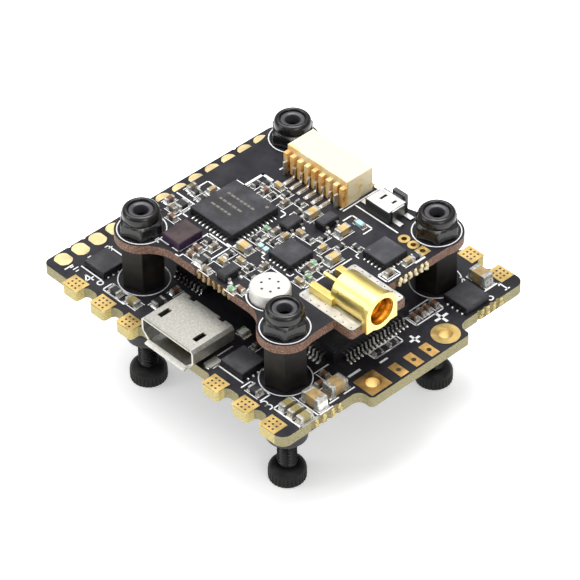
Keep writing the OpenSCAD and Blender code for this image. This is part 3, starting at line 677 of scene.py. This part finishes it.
def lower_face(face):
    """Material of one face of the lower board: mask, cut edge, gold or torn edge."""
    centre = face.calc_center_median()
    if abs(face.normal.z) > 0.7:
        return 0
    if abs(centre.y) > 15.3 and any(low.x - 0.1 < centre.x < high.x + 0.1 for low, high in PAD_BOXES):
        return 2
    return 3 if torn(centre, LOWER_BITES) else 1


def upper_face(face):
    """Material of one face of the upper board: mask, cut edge or torn edge."""
    if abs(face.normal.z) > 0.7:
        return 0
    return 2 if torn(face.calc_center_median(), UPPER_BITES) else 1


def torn(point, bites):
    return any(abs(point.x - x) < 0.36 and abs(point.y - y) < 0.36 for x, y, _, _ in bites)


def lump(shape, centre, reach, z, slot):
    """Ragged bump of broken laminate; reach is its half size along X, Y and Z."""
    rings = []
    for k in range(1, 7):
        t = math.pi * k / 7
        rings.append([
            (
                centre[0] + reach[0] * math.sin(t) * math.cos(a) * rng.uniform(0.7, 1.25),
                centre[1] + reach[1] * math.sin(t) * math.sin(a) * rng.uniform(0.7, 1.25),
                z - reach[2] * math.cos(t) * rng.uniform(0.85, 1.05),
            )
            for a in circle_angles(9)
        ])
    shape.loft(rings, slot)


def build_torn_edges():
    """Broken panel webs: ragged stubs between the half holes of both boards' edges."""
    stubs = Shape()
    for bites, low_z, high_z, inner in (
        (LOWER_BITES, LOWER_BOTTOM, LOWER_TOP, 0.16), (UPPER_BITES, UPPER_BOTTOM, UPPER_TOP, 0.10),
    ):
        for x, y, step_x, step_y in bites:
            slot = 0 if bites is LOWER_BITES else 1 if step_y else 2
            for k in range(4):
                z = low_z + 0.22 + (high_z - low_z - 0.42) * k / 3
                along = rng.uniform(0.36, 0.64)
                place = (
                    x + step_x * along - inner * (step_y > 0) + rng.uniform(-0.04, 0.04),
                    y + step_y * along + inner * (step_x > 0) + rng.uniform(-0.04, 0.04),
                )
                size = rng.uniform(0.15, 0.23) * (0.75 if slot == 2 else 1)
                reach = (size, size * rng.uniform(0.8, 1.1), rng.uniform(0.16, 0.24))
                lump(stubs, place, reach, z, slot)
    stubs.piece("torn_panel_webs", [TORN, PALE_TORN, BRONZE_TORN], smooth=50)


def build_boards():
    cad_piece("lower_board", "solder_mask", 0.02, MASK, EDGE_OLIVE, EDGE_GOLD, OLIVE_PIT,
              pick=lower_face, segments=1)
    cad_piece("upper_board", "solder_mask", 0.02, MASK, EDGE_BROWN, TORN_PIT,
              pick=upper_face, segments=1)
    build_torn_edges()


# ---------------------------------------------------------------- pads and vias

def minus_pad_top(face):
    """Material of one face of the battery pads: the minus pad's top is darker."""
    return 1 if face.calc_center_median().y < 0 and face.normal.z > 0.5 else 0


def build_pads():
    for kind, slot, *metals in (
        ("motor", "gold_plate", PAD_GOLD), ("signal", "gold_plate", PALE_GOLD),
        ("supply", "gold_plate", DEEP_GOLD), ("battery", "gold_plate", PAD_GOLD, DEEP_GOLD),
        ("header", "tinned_metal", PAD_GOLD),
    ):
        cad_piece(kind + "_pads", slot, 0.012, *metals, name=kind + "_pad_plating",
                  pick=minus_pad_top if kind == "battery" else None)
    # flat dark discs where the via holes are: painted shade, not holes
    vias = Shape()
    for low, high in PAD_BOXES:
        centre = (low + high) / 2
        for x in (-0.5, 0, 0.5):
            for y in (-0.5, 0, 0.5):
                vias.disc((centre.x + x, centre.y + y), 0.125, high.z + VIA, 12)
    strips = Shape()
    for low, high in islands("ground_strips"):
        edge, step = (high.y, -0.3) if high.y > 0 else (low.y, 0.3)
        for i in range(7):
            x = low.x + 0.4 + (high.x - low.x - 0.8) * i / 6
            vias.disc((x, edge + step), 0.075, high.z + VIA, 12)
        for i in range(3):
            vias.disc((low.x + 0.75 + 2.1 * i, edge + 3 * step), 0.07, high.z + VIA, 12)
        strips.soft_box(low, high, 0.02, corner=0.35)
        share = 0.7 if low.y < -4 else 0.3  # where solder lies across the strip
        for _ in range(5):
            at = (rng.uniform(low.x + 0.8, high.x - 0.8), low.y + (high.y - low.y) * share)
            strips.dome(at, rng.uniform(0.5, 0.9), rng.uniform(0.12, 0.25), 0.025, high.z - 0.006, 14)
    vias.piece("via_shade_discs", [HOLE_SHADE])
    strips.piece("ground_strip_tin", [GROUND_TIN], ("ground_strips",))


# ---------------------------------------------------------------- small parts

def chip_part(shape, low, high, body_slot, metal_slot, end_share):
    """One two-ended part: rounded body, wrapped metal ends, solder and pads. The solder's
    material follows the ends' material."""
    solder_slot = metal_slot + 1
    size = high - low
    along = 0 if size.x >= size.y else 1
    across = 1 - along
    end = size[along] * end_share
    reach = 0.08 + 0.14 * size.z
    radius = min(size[across], size.z) * 0.1
    inset = Vector((0, 0, 0))
    inset[along] = end * 0.8
    inset[across] = size[across] * 0.025
    shape.soft_box(low + inset, high - inset - Vector((0, 0, size.z * 0.03)), radius * 0.5, body_slot)
    for sign in (-1.0, 1.0):
        tip = (low + high) / 2
        tip[along] = high[along] if sign > 0 else low[along]
        inner = tip[along] - sign * end
        cap_low = low.copy()
        cap_high = high.copy()
        cap_low[along], cap_high[along] = sorted((inner, tip[along]))
        shape.soft_box(cap_low, cap_high, radius, metal_slot)
        direction = [0.0, 0.0]
        direction[along] = sign
        shape.ramp(tip.xy, direction, size[across] * 0.9, reach, size.z * 0.62, low.z, solder_slot)
        cap_high.z = low.z + PAD
        cap_low[across] -= 0.05
        cap_high[across] += 0.05
        cap_low[along], cap_high[along] = sorted((inner, tip[along] + sign * reach * 1.25))
        shape.soft_box(cap_low, cap_high, 0.02, solder_slot, corner=0.08)


def capacitor_body(low, size):
    """Material of a small capacitor: by chance on the upper board, by size on the lower."""
    large = max(size.x, size.y) > 1.2
    body = 0 if large else rng.choice((0, 1, 2, 3, 4, 4))
    if low.z < UPPER_BOTTOM:
        body = 3 if large else 2
    return body


def build_passives():
    for node, slot, bodies, body_of, end_share in (
        ("bulk_capacitors", "tan_ceramic", [TAN, OLIVE_TAN], lambda low, size: int(size.z < 1), 0.25),
        ("chip_capacitors", "tan_ceramic", [PALE_TAN, TAN, BROWN, OLIVE_TAN, GREY_TAN],
         capacitor_body, 0.24),
        ("chip_resistors", "black_ceramic", [BLACK_CERAMIC], lambda low, size: 0, 0.22),
        ("chip_inductors", "green_ceramic", [GREEN], lambda low, size: 0, 0.3),
        ("indicator_leds", "led_lens", [LENS, LED_BODY, GREEN], lambda low, size: int(size.y > 0.8), 0.22),
    ):
        parts = Shape()
        for low, high in islands(node):
            body = body_of(low, high - low)
            chip_part(parts, low, high, body, len(bodies), end_share)
            if bodies[body] == LED_BODY:
                # green corner that marks one end of the square lamp
                corner = Vector((low.x, high.y - 0.3))
                parts.prism([corner[:], (corner.x + 0.3, corner.y), (corner.x + 0.3, high.y),
                             (corner.x, high.y)], high.z - 0.1, high.z + 0.003, 2)
        parts.piece(node + "_dressed", bodies + [TERMINAL, SOLDER], (node,))


# ---------------------------------------------------------------- chips

def laser_rows(shape, node, rows):
    """Rows of short generic bars, as a laser leaves them on a package."""
    low, high = box(node)
    width = (high.x - low.x) * 0.62
    for i in range(rows):
        y = low.y + (high.y - low.y) * (0.68 - 0.36 * i / (rows - 1))
        x = low.x + (high.x - low.x) * 0.18
        stop = x + width * rng.uniform(0.7, 1.0)
        while x < stop:
            length = rng.choice((0.12, 0.2, 0.3))
            shape.stroke((x, y, x + length, y), 0.26, high.z + 0.003)
            x += length + 0.4


def build_chips():
    for node, material in (
        ("processor", RESIN), ("radio_chip", RESIN), ("video_chip", RESIN), ("control_chip", PALE_RESIN),
        ("driver_chips", RESIN), ("display_chip", DARK_RESIN), ("transistors", RESIN),
        ("motor_fets", DARK_RESIN), ("speed_chips", DARK_RESIN), ("gyro_chip", DARK_RESIN),
    ):
        cad_piece(node, "chip_resin", 0.018, material, name=node + "_moulding")
    cad_piece("radio_amplifier", "brown_resin", 0.015, BROWN_RESIN, name="radio_amplifier_moulding")
    cad_piece("crystal", "stamped_steel", 0.05, STEEL, name="crystal_can")
    marks = Shape()
    low, high = box("radio_chip")
    marks.disc((high.x - 0.75, high.y - 0.75), 0.19, high.z + 0.004, 20)
    low, high = box("control_chip")
    marks.disc((low.x + 0.45, low.y + 0.45), 0.1, high.z + 0.004, 16)
    laser_rows(marks, "radio_chip", 3)
    marks.piece("laser_marks", [LASER_MARK])


def build_leads():
    for node in ("processor_leads", "display_chip_leads", "transistor_leads"):
        cad_piece(node, "tinned_metal", 0.018, TINNED, name=node + "_tinned", segments=1)
    beads = Shape()
    for low, high in islands("driver_leads"):
        size = high - low
        beads.dome((low + high) / 2, size.x * 0.52, size.y * 0.55, size.z, low.z, 10, 0.4)
    chips = [box(node) for node in ("radio_chip", "video_chip", "control_chip")]
    for node, reach in (("radio_chip_pads", 0.62), ("small_chip_pads", 0.46)):
        for low, high in islands(node):
            at = (low + high) / 2
            chip_low, chip_high = min(chips, key=lambda b: ((b[0] + b[1]) / 2 - at).length)
            past = [max(chip_low[i] - at[i], at[i] - chip_high[i]) for i in (0, 1)]
            axis = 0 if past[0] > past[1] else 1
            sign = 1 if at[axis] > (chip_low[axis] + chip_high[axis]) / 2 else -1
            at[axis] = (chip_high[axis] if sign > 0 else chip_low[axis]) + sign * (reach / 2 - 0.06)
            half = [0.11, 0.11]
            half[axis] = reach / 2
            beads.dome(at, *half, high.z - low.z, low.z, 12, 0.3)
    beads.piece("chip_pad_solder", [SOLDER],
                ("radio_chip_pads", "small_chip_pads", "driver_leads"))
    feet = Shape()
    centre = middle("processor")
    for low, high in islands("processor_leads"):
        tip = (low + high) / 2
        out = tip - centre
        axis = 0 if abs(out.x) > abs(out.y) else 1
        tip[axis] = high[axis] - 0.12 if out[axis] > 0 else low[axis] + 0.12
        half = [0.15, 0.15]
        half[axis] = 0.3
        feet.dome(tip, *half, 0.1, low.z, 10)
    for low, high in islands("transistor_leads"):
        size = high - low
        feet.dome((low + high) / 2, size.x * 0.75, size.y * 0.8, 0.2, low.z, 12)
    feet.piece("lead_feet_solder", [SOLDER])


# ---------------------------------------------------------------- columns

def hex_radius(angle, flats, turn):
    """Distance from the centre of a hexagon to its side, at an angle."""
    a = (angle - math.radians(turn)) % (math.pi / 3)
    return flats / 2 / math.cos(a - math.pi / 6)


def build_screws():
    """Upside-down socket screws: fluted heads, hexagon sockets and running threads."""
    head = islands("cap_screws")[0][1].x - COLUMNS[0].x
    head_top = 2.0
    profile = [
        (head - 0.22, 0.0), (head - 0.06, 0.07), (head, 0.2), (head, 0.5), (head, 0.85), (head, 1.15),
        (head - 0.01, 1.25), (head - 0.06, 1.42), (head - 0.15, 1.6), (head - 0.29, 1.77),
        (head - 0.47, 1.9), (1.25, 1.97), (1.1, head_top),
    ]
    flutes = 30
    around = flutes * 8
    socket_flats = 1.5
    socket_depth = 0.95
    pitch = 0.4
    thread_low = head_top - 0.02
    thread_high = box("rubber_dampers")[0].z + 0.3
    steps = 159
    thread = [(1.0, thread_low + (thread_high - thread_low) * i / steps) for i in range(steps + 1)]
    tip = box("cap_screws")[1].z

    def fluted(radius, angle, z, level):
        if not 1 <= level <= 6:
            return radius
        wave = 0.5 + 0.5 * math.cos(flutes * angle)
        return radius - 0.11 * (1 - wave ** 0.6) * (1 if 2 <= level <= 5 else 0.35)

    def socketed(radius, angle, z, level):
        return radius or hex_radius(angle, socket_flats, 0)

    def threaded(radius, angle, z, level):
        phase = ((z - thread_low) / pitch - angle / (2 * math.pi)) % 1.0
        return radius - 0.24 * (1 - abs(2 * phase - 1))

    shape = Shape()
    for column in COLUMNS:
        shape.lathe(column, profile, around, 0, "high", fluted)
        shape.lathe(column, [(0, socket_depth), (0, 0.0), profile[0]], around, 0, "low", socketed)
        shape.lathe(column, thread, 40, 1, shaped=threaded)
        shape.lathe(column, [(0.98, thread_high - 0.1), (0.98, tip - 0.15), (0.85, tip)], 32, 1)
    shape.piece("socket_screws", [BLACK, NUT_BLACK], ("cap_screws",), 40)


def turned_pieces(node, material, profile, segments=48, shaped=None, smooth=SMOOTH):
    """Closed ring turned about each column, in place of a CAD node."""
    shape = Shape()
    for column in COLUMNS:
        shape.lathe(column, profile, segments, 0, "loop", shaped)
    shape.piece(node + "_dressed", [material], (node,), smooth)


def build_nuts():
    """Lock nuts: chamfered hexagon, round collar rolled inwards over a nylon ring."""
    base, top = (corner.z for corner in box("lock_nuts"))
    flats = 4.0
    corner = flats / math.sqrt(3)
    profile = [
        (corner - 0.24, base), (corner - 0.05, base + 0.1), (corner + 0.02, base + 0.16),
        (corner + 0.02, base + 1.2), (corner - 0.1, base + 1.32), (1.93, base + 1.47), (1.84, base + 1.5),
        (1.86, base + 1.6), (1.88, base + 1.75), (1.88, top - 0.5), (1.85, top - 0.34), (1.76, top - 0.17),
        (1.62, top - 0.05), (1.47, top), (1.36, top - 0.02), (1.28, top - 0.1), (1.25, top - 0.25),
        (1.25, base + 1.3), (1.1, base + 1.3), (1.1, base),
    ]

    def hexagonal(radius, angle, z, level):
        return min(hex_radius(angle, flats, HEX_TURN), radius) if level <= 5 else radius

    turned_pieces("lock_nuts", NUT_BLACK, profile, 96, hexagonal, 38)
    top = box("nut_inserts")[1].z
    turned_pieces("nut_inserts", INSERT, [
        (1.25, top - 0.16), (1.2, top - 0.05), (1.1, top), (0.92, top - 0.02), (0.78, top - 0.12),
        (0.72, top - 0.3), (0.72, base + 1.3), (1.25, base + 1.3),
    ])


def build_columns():
    build_screws()
    build_nuts()
    cad_piece("hex_spacers", "black_nylon", 0.09, NYLON, segments=3)
    low, high = box("rubber_dampers")
    r = islands("rubber_dampers")[0][1].x - COLUMNS[0].x
    # half of a damper's outline: radius, and distance from its nearer end
    bulge = [(r, 1.35), (r - 0.05, 1.55), (r - 0.2, 1.75), (r - 0.34, 1.95), (r - 0.36, 2.3)]
    profile = [(1.1, low.z + 0.06), (1.3, low.z), (r - 0.35, low.z), (r - 0.14, low.z + 0.05),
               (r - 0.03, low.z + 0.18), (r, low.z + 0.4)]
    profile += [(x, low.z + z) for x, z in bulge] + [(x, high.z - z) for x, z in reversed(bulge)]
    profile += [(r, high.z - 0.15), (r - 0.1, high.z), (1.1, high.z)]
    turned_pieces("rubber_dampers", RUBBER, profile, 56)


# ---------------------------------------------------------------- sockets, microphone and button

def build_usb():
    cad_piece("usb_shell", "stamped_steel", 0.07, STEEL, segments=3)
    cad_piece("usb_tongue", "black_plastic", 0.04, BLACK_PLASTIC)
    cad_piece("usb_contacts", "gold_plate", 0.02, GOLD)
    joints = Shape()
    for low, high in islands("usb_shell")[1:]:
        size = high - low
        if size.z < 1:
            joints.dome((low + high) / 2, size.x * 0.6, size.y * 0.6, 0.1, low.z, 24, 0.35)
    joints.piece("usb_foot_solder", [SOLDER])


def build_cable_socket():
    cad_piece("cable_socket", "ivory_plastic", 0.06, IVORY)
    cad_piece("cable_socket_contacts", "tinned_metal", 0.03, TINNED, name="cable_contacts_dressed")
    cad_piece("cable_socket_tabs", "tinned_metal", 0.02, STEEL, name="cable_tabs_dressed")
    joints = Shape()
    for low, high in islands("cable_socket_contacts"):
        x = (low.x + high.x) / 2
        joints.ramp((x, low.y + 0.02), (0, -1), 0.34, 0.26, 0.16, low.z)
        joints.soft_box(Vector((x - 0.24, low.y - 0.3, low.z)),
                        Vector((x + 0.24, low.y + 1.1, low.z + 0.05)), 0.02)
    joints.piece("cable_contact_solder", [TINNED])


def build_jack():
    """Antenna jack, with the wavy spring rings inside its bore."""
    cad_piece("antenna_jack", "gold_plate", 0.05, JACK_GOLD)
    cad_piece("jack_insulator", "white_insulator", 0.03, INSULATOR)
    cad_piece("jack_pin", "gold_plate", 0.03, JACK_GOLD)
    mouth = box("antenna_jack")[1].x - 0.25
    axis_y = middle("antenna_jack").y
    axis_z = middle("jack_pin").z
    bore = 1.45
    length = 3.1
    waves = 3
    profile = []
    for i in range(25):
        wave = 0.5 - 0.5 * math.cos(2 * math.pi * waves * i / 24)
        profile.append((bore - 0.02 - 0.13 * wave, mouth - length * i / 24))
    profile += [(bore - 0.002, mouth - length), (bore - 0.002, mouth)]
    rings = Shape()
    rings.loft([
        [(x, axis_y + r * math.cos(a), axis_z + r * math.sin(a)) for a in circle_angles(48)]
        for r, x in profile
    ], 0, "loop")
    rings.piece("jack_spring_rings", [BORE_GOLD])


def build_microphone():
    cad_piece("microphone_can", "microphone_metal", 0.1, MIC_METAL, segments=3)
    cad_piece("microphone_base", "black_plastic", 0.03, VOID)


def build_button():
    cad_piece("button_base", "black_plastic", 0.04, BLACK_PLASTIC)
    # the cover's top keeps the bright tin and its sides take the darker copy: painted shade
    cad_piece("button_cover", "stamped_steel", 0.012, BRIGHT_TIN, SHADED_TIN,
              pick=lambda face: 0 if face.normal.z > 0.5 else 1)
    cad_piece("button_spring", "stamped_steel", 0.01, STEEL)
    cad_piece("button_plunger", "grey_plastic", 0.06, GREY_PLASTIC, body=BUTTON)


# ---------------------------------------------------------------- printed marks

def part_outlines(shape, nodes, gap, width, z_board):
    """Printed lines along both sides of each small part that stands on one board."""
    for node in nodes:
        for low, high in islands(node):
            if abs(low.z - z_board) > 0.2:
                continue
            x0, x1, y0, y1 = low.x - gap, high.x + gap, low.y - gap, high.y + gap
            if high.x - low.x >= high.y - low.y:
                lines = (x0, y0, x1, y0), (x0, y1, x1, y1)
            else:
                lines = (x0, y0, x0, y1), (x1, y0, x1, y1)
            for line in lines:
                shape.stroke(line, width, z_board + SILK)


def brackets(shape, low, high, length, width, z):
    """Corner marks round a box."""
    for x, sx in ((low.x, 1), (high.x, -1)):
        for y, sy in ((low.y, 1), (high.y, -1)):
            shape.stroke((x + sx * length, y, x, y, x, y + sy * length), width, z)


# printed lines of each board: for each width, lines as x, y, x, y and so on; with plus signs
# and the generic numerals 1 and 4 beside two corners
LOWER_LINES = {
    0.3: ((13.47, 6.6, 14.83, 6.6), (14.15, 5.92, 14.15, 7.28)),
    0.26: ((14.1, 2.55, 15.1, 2.55), (14.6, 2.05, 14.6, 3.05)),
    0.27: ((14.05, -5.6, 14.05, -4.3),),
    0.22: ((14.7, -2.1, 14.7, -1.3),),
    0.15: ((-16.4, -14.6, -16.4, -13.7), (-15.6, -13.15, -12.7, -13.15), (-16, -9.25, -14.1, -9.25),
        (-11.6, -13.95, -11.6, -12.7, -8.4, -12.7, -8.4, -13.95, -11.6, -13.95),
        (8.1, -13.9, 8.1, -12.7, 10.7, -12.7, 10.7, -13.9), (4.5, -13.4, 7.7, -13.4),
        (3.25, -12.5, 3.25, -10.6), (12.3, -13.75, 16, -13.75, 16, -11.4, 12.3, -11.4, 12.3, -13.75),
        (15.95, -9.6, 15.95, -13.8), (15.45, -8.4, 15.45, -9.5), (15.45, -7.6, 15.45, -6.35),
        (11.45, -5.9, 11.45, -7.8), (11.4, 4, 13.35, 4, 13.35, 7.7, 11.4, 7.7, 11.4, 4),
        (13, -2.15, 14, -2.15, 14, 1.6, 13, 1.6, 13, -2.15), (14.4, 13.95, 14.4, 12.1, 11.3, 12.1),
        (14.75, 13.9, 14.55, 14.15, 15.65, 14.15), (15.65, 13.9, 15.65, 14.4)),
    0.14: ((-13.3, -13.7, -14.4, -13.7, -13.65, -14.3, -13.65, -13.4),),
}
UPPER_LINES = {
    0.3: ((box("radio_chip")[0].x - 0.45, 1.45, -7.85, 1.45, -7.85, 3.95, -6.6, 3.95),),
    0.15: ((1.9, 7.1, 7.6, 7.1), (1.3, 5.6, 1.3, 7.9), (2.7, 5.8, 5.5, 5.8), (2.7, 4.65, 2.7, 5.8),
        (5.5, 4.65, 5.5, 5.8), (-11.6, -3.95, -9, -3.95, -9, -6.4), (-10.85, -0.6, -9, -0.6),
        (-10.85, -0.6, -10.85, -1.9), (-7.5, -9.8, -6.4, -9.8), (-5.8, -9.8, -4.95, -9.8, -4.95, -5.9),
        (-1.95, -9, -1.95, -5.9, -4.95, -5.9), (12, 5.2, 12, 6.4),
        (10.8, 1.3, 10.8, 3.1, 12.1, 3.1, 12.1, 1.3, 10.8, 1.3), (6.9, -4.9, 7.3, -4.9, 7.3, 1.2),
        (1.7, -5.1, 4.6, -5.1), (-1.9, -5.75, 0.1, -5.75)),
}


def build_lower_marks():
    z = LOWER_TOP + SILK
    marks = Shape()
    for width, lines in LOWER_LINES.items():
        for line in lines:
            marks.stroke(line, width, z)
    for column in COLUMNS:
        marks.annulus(column, 2.52, 2.63, z, 72)
        if column.x < 0:
            marks.annulus(column, 2.95, 3.02, z, 60, 150, 60)
    # generic numeral 3 beside a corner, from two arcs
    for x in (11.2, 11.85):
        marks.annulus((x, -13.95), 0.27, 0.40, z, 24, -30, 235)
    for place in ((15.46, 11.97), (-12.48, -13.5)):
        marks.annulus(place, 0.22, 0.36, z, 24)
    for low, high in islands("signal_pads"):
        y = (low.y + high.y) / 2
        for k in range(3):
            x = high.x + 0.55 + 0.38 * k
            marks.stroke((x, y - 0.3, x, y + 0.25 * (k % 2)), 0.11, z)
    part_outlines(marks, ("chip_capacitors", "chip_resistors"), 0.2, 0.09, LOWER_TOP)
    marks.piece("lower_board_print", [SILKSCREEN])


def build_upper_marks():
    z = UPPER_TOP + SILK
    marks = Shape()
    for column in COLUMNS:
        marks.annulus(column, 2.35, 2.47, z, 72)
    for width, lines in UPPER_LINES.items():
        for line in lines:
            marks.stroke(line, width, z)
    for node, gap, length, width in (
        ("radio_chip", 0.55, 0.7, 0.15), ("video_chip", 0.5, 0.45, 0.12),
        ("control_chip", 0.5, 0.45, 0.12), ("radio_amplifier", 0.5, 0.45, 0.12),
    ):
        low, high = box(node)
        brackets(marks, low - Vector((gap, gap, 0)), high + Vector((gap, gap, 0)), length, width, z)
    low, high = box("cable_socket")
    for x in (high.x + 0.3, low.x - 0.3):
        marks.stroke((x, low.y - 0.2, x, high.y), 0.15, z)
    marks.annulus(middle("microphone_can"), 2.2, 2.34, z, 48, 120, 220)
    part_outlines(marks, ("chip_capacitors", "chip_resistors", "chip_inductors"), 0.19, 0.085, UPPER_TOP)
    marks.piece("upper_board_print", [SILKSCREEN])


# ---------------------------------------------------------------- setting, light and camera

FLOOR_REACH = 3.0
FLOOR_DROP = 0.00002    # keeps the paper just below the screw heads
AIM = Vector((0.0, 0.0, 0.014))
SOFTBOXES = (
    # name, place, diameter in metres, watts
    ("key", (-0.165, -0.04, 0.36), 0.34, 0.72),
    ("overhead", (0.0, 0.07, 0.38), 0.24, 1.05),
    ("side", (-0.20, -0.30, 0.16), 0.16, 0.25),
    ("front", (0.30, -0.10, 0.20), 0.18, 0.25),
)
# the photograph's camera, in degrees, metres and millimetres of focal length
AZIMUTH = 47.109
ELEVATION = 40.807
ROLL = -0.891
CAMERA_PLACE = (0.196167, -0.182226, 0.242595)
FOCAL_LENGTH = 225.79


def build_backdrop():
    """White paper floor that glows a little."""
    paper = worn_surface("backdrop_paper", (0.93, 0.93, 0.93), 0.7, variation=0.01, coarse=0.02, fine=0.4,
                         Emission_Color=(1.0, 1.0, 0.99, 1.0), Emission_Strength=0.38)
    mesh = bpy.data.meshes.new("backdrop")
    corners = ((-1, -1), (1, -1), (1, 1), (-1, 1))
    mesh.from_pydata([(x * FLOOR_REACH, y * FLOOR_REACH, 0) for x, y in corners], [], [(0, 1, 2, 3)])
    mesh.materials.append(paper)
    floor = bpy.data.objects.new("backdrop", mesh)
    floor.location.z = -FLOOR_DROP
    bpy.context.scene.collection.objects.link(floor)


def build_lights():
    """Sky bright overhead and dim at the horizon, and round softboxes."""
    world = bpy.data.worlds.new("studio")
    world.use_nodes = True
    tree = world.node_tree
    background = tree.nodes["Background"]
    direction = tree.nodes.new("ShaderNodeTexCoord")
    axes = tree.nodes.new("ShaderNodeSeparateXYZ")
    sky = tree.nodes.new("ShaderNodeValToRGB")
    set_stops(sky, [(0.12, (0.10, 0.10, 0.11)), (0.8, (1.0, 1.0, 1.0))])
    tree.links.new(direction.outputs["Generated"], axes.inputs[0])
    tree.links.new(axes.outputs["Z"], sky.inputs["Fac"])
    tree.links.new(sky.outputs["Color"], background.inputs["Color"])
    background.inputs["Strength"].default_value = 0.9
    bpy.context.scene.world = world
    for name, place, size, watts in SOFTBOXES:
        light = bpy.data.lights.new(name, "AREA")
        light.shape = "DISK"
        light.size = size
        light.energy = watts
        lamp = bpy.data.objects.new(name, light)
        lamp.location = place
        lamp.rotation_euler = (AIM - Vector(place)).to_track_quat("-Z", "Y").to_euler()
        bpy.context.scene.collection.objects.link(lamp)


def build_camera():
    """Long lens at the photograph's angle."""
    data = bpy.data.cameras.new("camera")
    data.lens = FOCAL_LENGTH
    data.sensor_width = 36.0
    data.clip_start = 0.01
    data.clip_end = 20.0
    camera = bpy.data.objects.new("camera", data)
    camera.matrix_world = (
        Matrix.Translation(CAMERA_PLACE)
        @ Matrix.Rotation(math.radians(AZIMUTH), 4, "Z")
        @ Matrix.Rotation(math.radians(90 - ELEVATION), 4, "X")
        @ Matrix.Rotation(math.radians(ROLL), 4, "Z")
    )
    bpy.context.scene.collection.objects.link(camera)
    bpy.context.scene.camera = camera


build_boards()
build_pads()
build_passives()
build_chips()
build_leads()
build_columns()
build_usb()
build_cable_socket()
build_jack()
build_microphone()
build_button()
build_lower_marks()
build_upper_marks()
build_backdrop()
build_lights()
build_camera()

scene = bpy.context.scene
scene.view_settings.view_transform = "Standard"
scene.view_settings.look = "None"
scene.view_settings.exposure = 0.0
